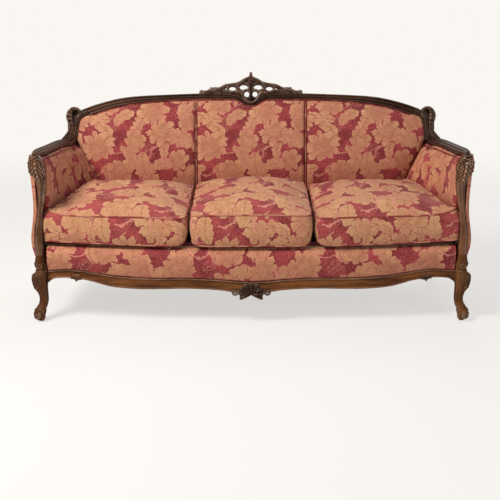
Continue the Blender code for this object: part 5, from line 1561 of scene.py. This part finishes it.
def make_webbing():
    """Jute straps across the back, each going over and under those it crosses."""
    low, high = (along_back(corner.z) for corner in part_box("back_webbing"))
    low, high, half = low + 0.001, high - 0.001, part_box("back_webbing")[1].x
    columns = spread(-half + WEB_WIDTH / 2, half - WEB_WIDTH / 2, WEB_COLUMNS)
    rows = spread(low + WEB_WIDTH / 2, high - WEB_WIDTH / 2, WEB_ROWS)
    along, up = Vector((1, 0, 0)), back_point(0, 0, 1) - back_point(0, 0, 0)
    square = back_point(0, 1, 0) - back_point(0, 0, 0)
    shells = []
    for k, x in enumerate(columns):
        path = []
        for rise in spread(low, high, 60):
            over = sum((-1) ** (j + k) * bump_at(rise, row, 0.030) for j, row in enumerate(rows))
            path.append(back_point(x, -WEB_DEPTH / 2 + 0.0008 * over, rise))
        shells.append(strap_shell(path, along, square))
    for j, rise in enumerate(rows):
        path = []
        for x in spread(-half, half, 240):
            over = sum((-1) ** (j + k) * bump_at(x, column, 0.035) for k, column in enumerate(columns))
            path.append(back_point(x, -WEB_DEPTH / 2 - 0.0008 * over, rise))
        shells.append(strap_shell(path, up, square))
    add_piece("jute_straps", shells, JUTE, ["back_webbing"])


def box_shell(low, high):
    """A small block between two corners."""
    corners = [(low[0], low[1]), (high[0], low[1]), (high[0], high[1]), (low[0], high[1])]
    return rings_shell([[Vector((x, y, z)) for x, y in corners] for z in (low[2], high[2])])


# The slider and its pull: near and far end from the zip's right end, depths of front and back, half height.
SLIDER_BLOCKS = ((0.016, 0.008, 0.0030, 0.0004, 0.0030), (0.026, 0.013, 0.0009, 0.0001, 0.0018))


def make_zip(name):
    """Zip closer in the rear boxing of a cushion: two tapes, their teeth, and the slider with its pull."""
    low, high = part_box(f"cushion_zipper_{name}")
    middle, rear = (low.z + high.z) / 2, high.y - SHIFT
    tapes = []
    for bottom, top in ((low.z, middle - 0.0006), (middle + 0.0006, high.z)):
        section = ((-0.0030, bottom), (-0.0020, bottom + 0.0003), (-0.0020, top - 0.0003), (-0.0030, top))
        tapes.append(rings_shell([[Vector((x, rear + y + 0.0003 * math.sin(x * 90), z)) for y, z in section]
                                  for x in spread(low.x, high.x, 60)]))
    add_piece(f"zip_tape_{name}", tapes, TAPE, [f"cushion_zipper_{name}"], f"cushion_{name}")
    teeth = []
    for k, x in enumerate(spread(low.x + 0.004, high.x - 0.004, 110)):
        level = middle + 0.0007 * (-1) ** k
        teeth.append(box_shell((x - 0.0007, rear - 0.0025, level - 0.0013),
                               (x + 0.0007, rear - 0.0010, level + 0.0013)))
    for near, far, front, back, half in SLIDER_BLOCKS:
        teeth.append(box_shell((high.x - near, rear - front, middle - half),
                               (high.x - far, rear - back, middle + half)))
    add_piece(f"zip_teeth_{name}", teeth, BRASS, body=f"cushion_{name}")


CUSHION_CROWN, CUSHION_BULGE, CUSHION_DRAW_IN, CUSHION_SIDE_EASE = 0.058, 0.009, 0.005, 0.003
CUSHION_CORNER_DROOP, CUSHION_CORNER_ROUND, CUSHION_BOTTOM_LIFT = 0.006, 0.012, 0.003
CUSHION_EAR, CUSHION_REAR_LIFT = 0.922, 0.032
RIM_COUNT, RIM_ROUNDING = 44, 0.08
BOTTOM_RINGS, BOXING_RINGS, TOP_RINGS = 20, 14, 40
CLOTH_FRAMES, CLOTH_PRESSURE, CLOTH_SPARE, CLOTH_CAP, CLOTH_RISE = 20, 4.0, 0.035, 0.024, 0.012


def cushion_limits(seat, y):
    """Left and right limits of a cushion at a place along the seat."""
    if seat == 0:
        return -SEAM_X + GAP, SEAM_X - GAP
    outer = arm_pad_inner(y, DECK_TOP) - CUSHION_SIDE_EASE
    outer = mix(outer, CUSHION_EAR, ease(1 - clip((y - 0.014) / 0.030)))
    return (SEAM_X + GAP, outer) if seat > 0 else (-outer, -SEAM_X - GAP)


def cushion_point(seat, a, b, c, puff=0.0):
    """A point of a cushion's outer form: a across, b back, c up, each from -1 to 1."""
    boxing = CUSHION_BOXING + (CUSHION_CENTRE_EXTRA if seat == 0 else 0.0)
    half_width, half_depth = (FRAME_INNER - SEAM_X) / 2, SEAT_DEPTH / 2
    ear = max(0.0, a * seat) ** 4 * max(0.0, -b) ** 4
    pinch = (CUSHION_BULGE + (0.016 if c > 0 else -0.006) * ear) * c * c
    corner = CUSHION_CORNER_ROUND * abs(a * b) ** 6 * (1 - 0.6 * ear)
    draw_a = (CUSHION_DRAW_IN * (1 - b * b) * c * c + pinch + corner) / half_width
    draw_b = (CUSHION_DRAW_IN * (1 - a * a) * c * c + pinch + corner) / half_depth
    rear = back_plane(DECK_TOP) - (BACK_PAD_CROWN + WEB_DEPTH + GAP) / math.cos(BACK_LEAN)
    left, right = cushion_limits(seat, max(0.0, mix(bow_line(FRONT_HALF), rear, (b + 1) / 2)))
    x = mix(left, right, (a * (1 - draw_a) + 1) / 2)
    y = mix(bow_line(x), rear, (b * (1 - draw_b) + 1) / 2)
    low = DECK_TOP + GAP + CUSHION_BOTTOM_LIFT * max(abs(a), abs(b)) ** 4
    low -= seat_droop(x, 0.002, 0.025) * ease(clip(1 - (y - bow_line(x)) / (APRON_THICK * 0.9)))
    dome = (1 - abs(a) ** 2.6) * (1 - abs(b) ** 3.4)
    rear_lift = CUSHION_REAR_LIFT * window(b, 0.15, 9.0, 1.5)
    side_rise = 0.024 * max(0.0, a * seat) ** 5 - CUSHION_CORNER_DROOP * (a * b) ** 2 * (a * seat <= 0)
    high = DECK_TOP + boxing + side_rise + rear_lift + (CUSHION_CROWN + puff) * dome
    z = mix(low, high, (c + 1) / 2)
    return Vector((x, y + (z - low) * math.tan(BACK_LEAN) * max(0.0, b) ** 3, z))


def cushion_rim():
    """Shares (a, b) round a cushion's plan, a square with rounded corners."""
    rim = []
    for k in range(4 * RIM_COUNT):
        edge, along = divmod(k, RIM_COUNT)
        a, b = mix(-1, 1, along / RIM_COUNT), -1.0
        for turn in range(edge):
            a, b = -b, a
        away = clip((abs(a) + abs(b) - 2 + RIM_ROUNDING) / RIM_ROUNDING)
        shrink = 1 - 0.29 * RIM_ROUNDING * away ** 2
        rim.append((a * shrink, b * shrink))
    return rim


def settle_cloth(pad, weights, rise):
    """The cover of a cushion blown up between its seams by a cloth simulation, and kept as plain mesh.

    Weights say how far each point may follow the cloth, 0 on the seams. The result is scaled to a rise.
    """
    mesh = pad.data
    start = read_all(mesh.vertices, "co", 3)
    twin = bpy.data.objects.new("cloth_twin", mesh.copy())
    bpy.context.scene.collection.objects.link(twin)
    seams = twin.vertex_groups.new(name="seams")
    seams.add([int(k) for k in np.nonzero(weights == 0)[0]], 1.0, "REPLACE")
    cloth = twin.modifiers.new("cloth", "CLOTH")
    cloth.point_cache.frame_start, cloth.point_cache.frame_end = 1, CLOTH_FRAMES
    cloth.settings.quality = 5
    cloth.settings.vertex_group_mass = "seams"
    cloth.settings.use_pressure = True
    cloth.settings.uniform_pressure_force = CLOTH_PRESSURE
    cloth.settings.shrink_min = -CLOTH_SPARE
    cloth.settings.effector_weights.gravity = 0
    cloth.collision_settings.use_collision = False
    for step in range(1, CLOTH_FRAMES + 1):
        bpy.context.scene.frame_set(step)
    blown = twin.evaluated_get(bpy.context.evaluated_depsgraph_get()).data
    moved = read_all(blown.vertices, "co", 3) - start
    length = np.linalg.norm(moved, axis=1)
    moved *= (np.minimum(length, CLOTH_CAP) / np.maximum(length, 1e-9))[:, None]
    moved *= weights[:, None] * rise / max(1e-4, float(np.percentile(moved[:, 2], 99)))
    mesh.vertices.foreach_set("co", np.ascontiguousarray(start + moved, np.float32).ravel())
    mesh.update()
    old = twin.data
    bpy.data.objects.remove(twin)
    bpy.data.meshes.remove(old)
    bpy.context.scene.frame_set(1)


def cloth_weights(rim):
    """How far each point of a cushion's rings, and the two middles of its ends, may follow the cloth."""
    weights = [0.0] * (BOTTOM_RINGS * len(rim))
    for k in range(BOXING_RINGS):
        bulge = 0.5 * math.sin(math.pi * (k + 1) / (BOXING_RINGS + 1))
        weights += [bulge * window(-b, 0.93, 2.0, 0.1) for a, b in rim]
    for inward in spread(0.0, 1.0, TOP_RINGS):
        weights += [min(1.0, inward / 0.12)] * len(rim)
    return np.array(weights + [0.0, 1.0])


def make_cushion(name, seat):
    """One loose box cushion: crowned top, and bulging boxing between two welts."""
    rim = cushion_rim()
    puff = -CLOTH_RISE
    forms = [(share, -1.0) for share in [0.01] + spread(0.0, 1.0, BOTTOM_RINGS)[1:]]
    forms += [(1.0, c) for c in spread(-1.0, 1.0, BOXING_RINGS + 2)[1:-1]]
    rings = [[cushion_point(seat, a * share, b * share, c) for a, b in rim] for share, c in forms]
    for inward in spread(0.0, 1.0, TOP_RINGS):
        share = max(0.01, 1 - inward)
        ring = [cushion_point(seat, a * share, b * share, 1.0, puff) for a, b in rim]
        for place in ring:
            wrinkle = 0.0016 * soft_noise(place.x * 0.5, place.y * 2.2, seat * 3.0, 12.0)
            sag = 0.0030 * soft_noise(place.x, place.y, seat * 5.0 + 1, 4.0)
            place.z += (wrinkle + sag) * (1 - share ** 6)
        rings.append(ring)
    boxing_low = cushion_point(seat, 0, -1, -1).z + 0.004

    def chart(places, normals):
        x, y, z = places.T
        flat = np.abs(normals[:, 2]) > 0.55
        front = ~flat & (np.abs(normals[:, 1]) > np.abs(normals[:, 0]))
        u = np.where(flat | front, x - seat_middle(seat) + seat * 0.11, y + 0.21) + np.where(front, 0.17, 0.0)
        v = np.where(flat, y + 0.13, z - boxing_low + 0.05)
        return np.stack((u, v), axis=1)

    body = f"cushion_{name}"
    pad = add_piece(f"seat_cushion_{name}", [rings_shell(rings)], CUSHION_FABRIC,
                    [f"cushion_cover_{name}", f"cushion_core_{name}"], body, 60, chart)
    settle_cloth(pad, cloth_weights(rim), CLOTH_RISE)
    lay_cloth(pad.data, chart)
    for level, c in (("top", 1.0), ("bottom", -1.0)):
        path = []
        for a, b in rim:
            place = cushion_point(seat, a, b, c)
            out = place - cushion_point(seat, 0.9 * a, 0.9 * b, c)
            out.z = 0
            path.append(place + out.normalized() * 0.0010 + Vector((0, 0, -0.002 * c)))
        welt = tube_shell(path, WELT_RADIUS, 10, closed_path=True)
        add_piece(f"cushion_welt_{level}_{name}", [welt], WELT, body=body)


for side_name, side_sign in SIDES.items():
    make_front_leg(side_name, side_sign)
    make_arm_stile(side_name, side_sign)
    make_arm_rail(side_name, side_sign)
    make_ear(side_name, side_sign)
    make_inside_arm(side_name, side_sign)
    make_outside_arm(side_name, side_sign)
make_crest_rail()
make_crest_carving()
make_apron()
make_apron_shell()
make_back_pads()
make_outside_back()
make_border()
make_trims()
make_seat_layers()
make_webbing()
for seat_name, seat_sign in SEATS.items():
    make_cushion(seat_name, seat_sign)
    make_zip(seat_name)

# Finishes of the frame's own nodes, by how their names start.
OWN_FINISHES = {
    "rear_leg_post": WOOD_Z, "side_seat_rail": WOOD_Y, "front_seat_rail": BEECH, "arm_tack_rail": BEECH,
    "corner_block": BEECH, "seat_cross_rail": BEECH, "rear_seat_rail": BEECH, "back_tack_rail": BEECH,
    "back_slat": BEECH, "seat_spring": STEEL,
}
for node_name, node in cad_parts.items():
    for start, finish in OWN_FINISHES.items():
        if node_name.startswith(start):
            for material_slot in node.material_slots:
                material_slot.material = finish

# Stage, lights and camera.

BACKGROUND = (0.955, 0.930, 0.896, 1.0)
FLOOR_HALF = 30


def make_floor():
    """A plain pale floor that fades into the background but keeps a soft shadow."""
    mesh = bpy.data.meshes.new("floor")
    corners = [(x * FLOOR_HALF, y * FLOOR_HALF, 0) for x, y in ((-1, -1), (1, -1), (1, 1), (-1, 1))]
    mesh.from_pydata(corners, [], [(0, 1, 2, 3)])
    floor = bpy.data.objects.new("floor", mesh)
    bpy.context.scene.collection.objects.link(floor)
    material, graph, shader = principled("floor", 0.9, specular_ior_level=0.0)
    place = graph.place()
    colour = graph.mix(graph.noise(place, 3.0), (0.78, 0.775, 0.765), (0.80, 0.795, 0.785))
    graph.feed(shader.inputs["Base Color"], colour)
    far = graph.step(graph.vector("LENGTH", place, output=1), 1.6, 5.0, 0.66, 1.0)
    seen = graph.times(far, graph.node("ShaderNodeLightPath").outputs["Is Camera Ray"])
    glow = graph.node("ShaderNodeEmission", {"Color": BACKGROUND, "Strength": 1.0})
    both = graph.node("ShaderNodeMixShader", {0: seen, 1: shader.outputs[0], 2: glow.outputs[0]})
    graph.feed(material.node_tree.nodes["Material Output"].inputs["Surface"], both.outputs[0])
    mesh.materials.append(material)


def add_area(name, size, power, place, target, colour):
    """A soft round lamp aimed at a place."""
    data = bpy.data.lights.new(name, "AREA")
    data.shape = "DISK"
    data.size = size
    data.energy = power
    data.color = colour
    lamp = bpy.data.objects.new(name, data)
    lamp.location = place
    lamp.rotation_euler = (Vector(target) - Vector(place)).to_track_quat("-Z", "Y").to_euler()
    bpy.context.scene.collection.objects.link(lamp)


def make_world():
    """Even pale light from all round, with the brighter background where the camera sees it."""
    world = bpy.data.worlds.new("surroundings")
    bpy.context.scene.world = world
    world.use_nodes = True
    graph = Graph(world.node_tree)
    for node in list(world.node_tree.nodes):
        world.node_tree.nodes.remove(node)
    path = graph.node("ShaderNodeLightPath").outputs
    seen = graph.most(path["Is Camera Ray"], path["Is Transmission Ray"])
    lit = graph.node("ShaderNodeBackground", {"Color": (1.0, 0.98, 0.955, 1.0), "Strength": 0.24})
    shown = graph.node("ShaderNodeBackground", {"Color": BACKGROUND, "Strength": 1.0})
    both = graph.node("ShaderNodeMixShader", {0: seen, 1: lit.outputs[0], 2: shown.outputs[0]})
    graph.node("ShaderNodeOutputWorld", {"Surface": both.outputs[0]})


make_floor()
make_world()
add_area("key", 1.7, 222, (-2.4, -2.1, 3.8), (0, 0, 0.45), (1.0, 0.965, 0.92))
add_area("fill", 2.6, 34, (3.0, -3.0, 2.0), (0, 0, 0.5), (0.96, 0.98, 1.0))
add_area("rim", 2.4, 45, (0.6, 2.4, 3.0), (0, 0, 0.7), (1.0, 1.0, 1.0))
camera_data = bpy.data.cameras.new("camera")
camera_data.lens = 61.9
camera_data.sensor_width = 36
camera = bpy.data.objects.new("camera", camera_data)
camera.location = (0.0, -3.98, 1.335)
aim = Matrix.Rotation(math.radians(0.08), 4, "Z") @ Matrix.Rotation(math.radians(90 - 15.6), 4, "X")
camera.rotation_euler = (aim @ Matrix.Rotation(math.radians(-0.12), 4, "Z")).to_euler()
bpy.context.scene.collection.objects.link(camera)
bpy.context.scene.camera = camera
bpy.context.scene.view_settings.view_transform = "Standard"
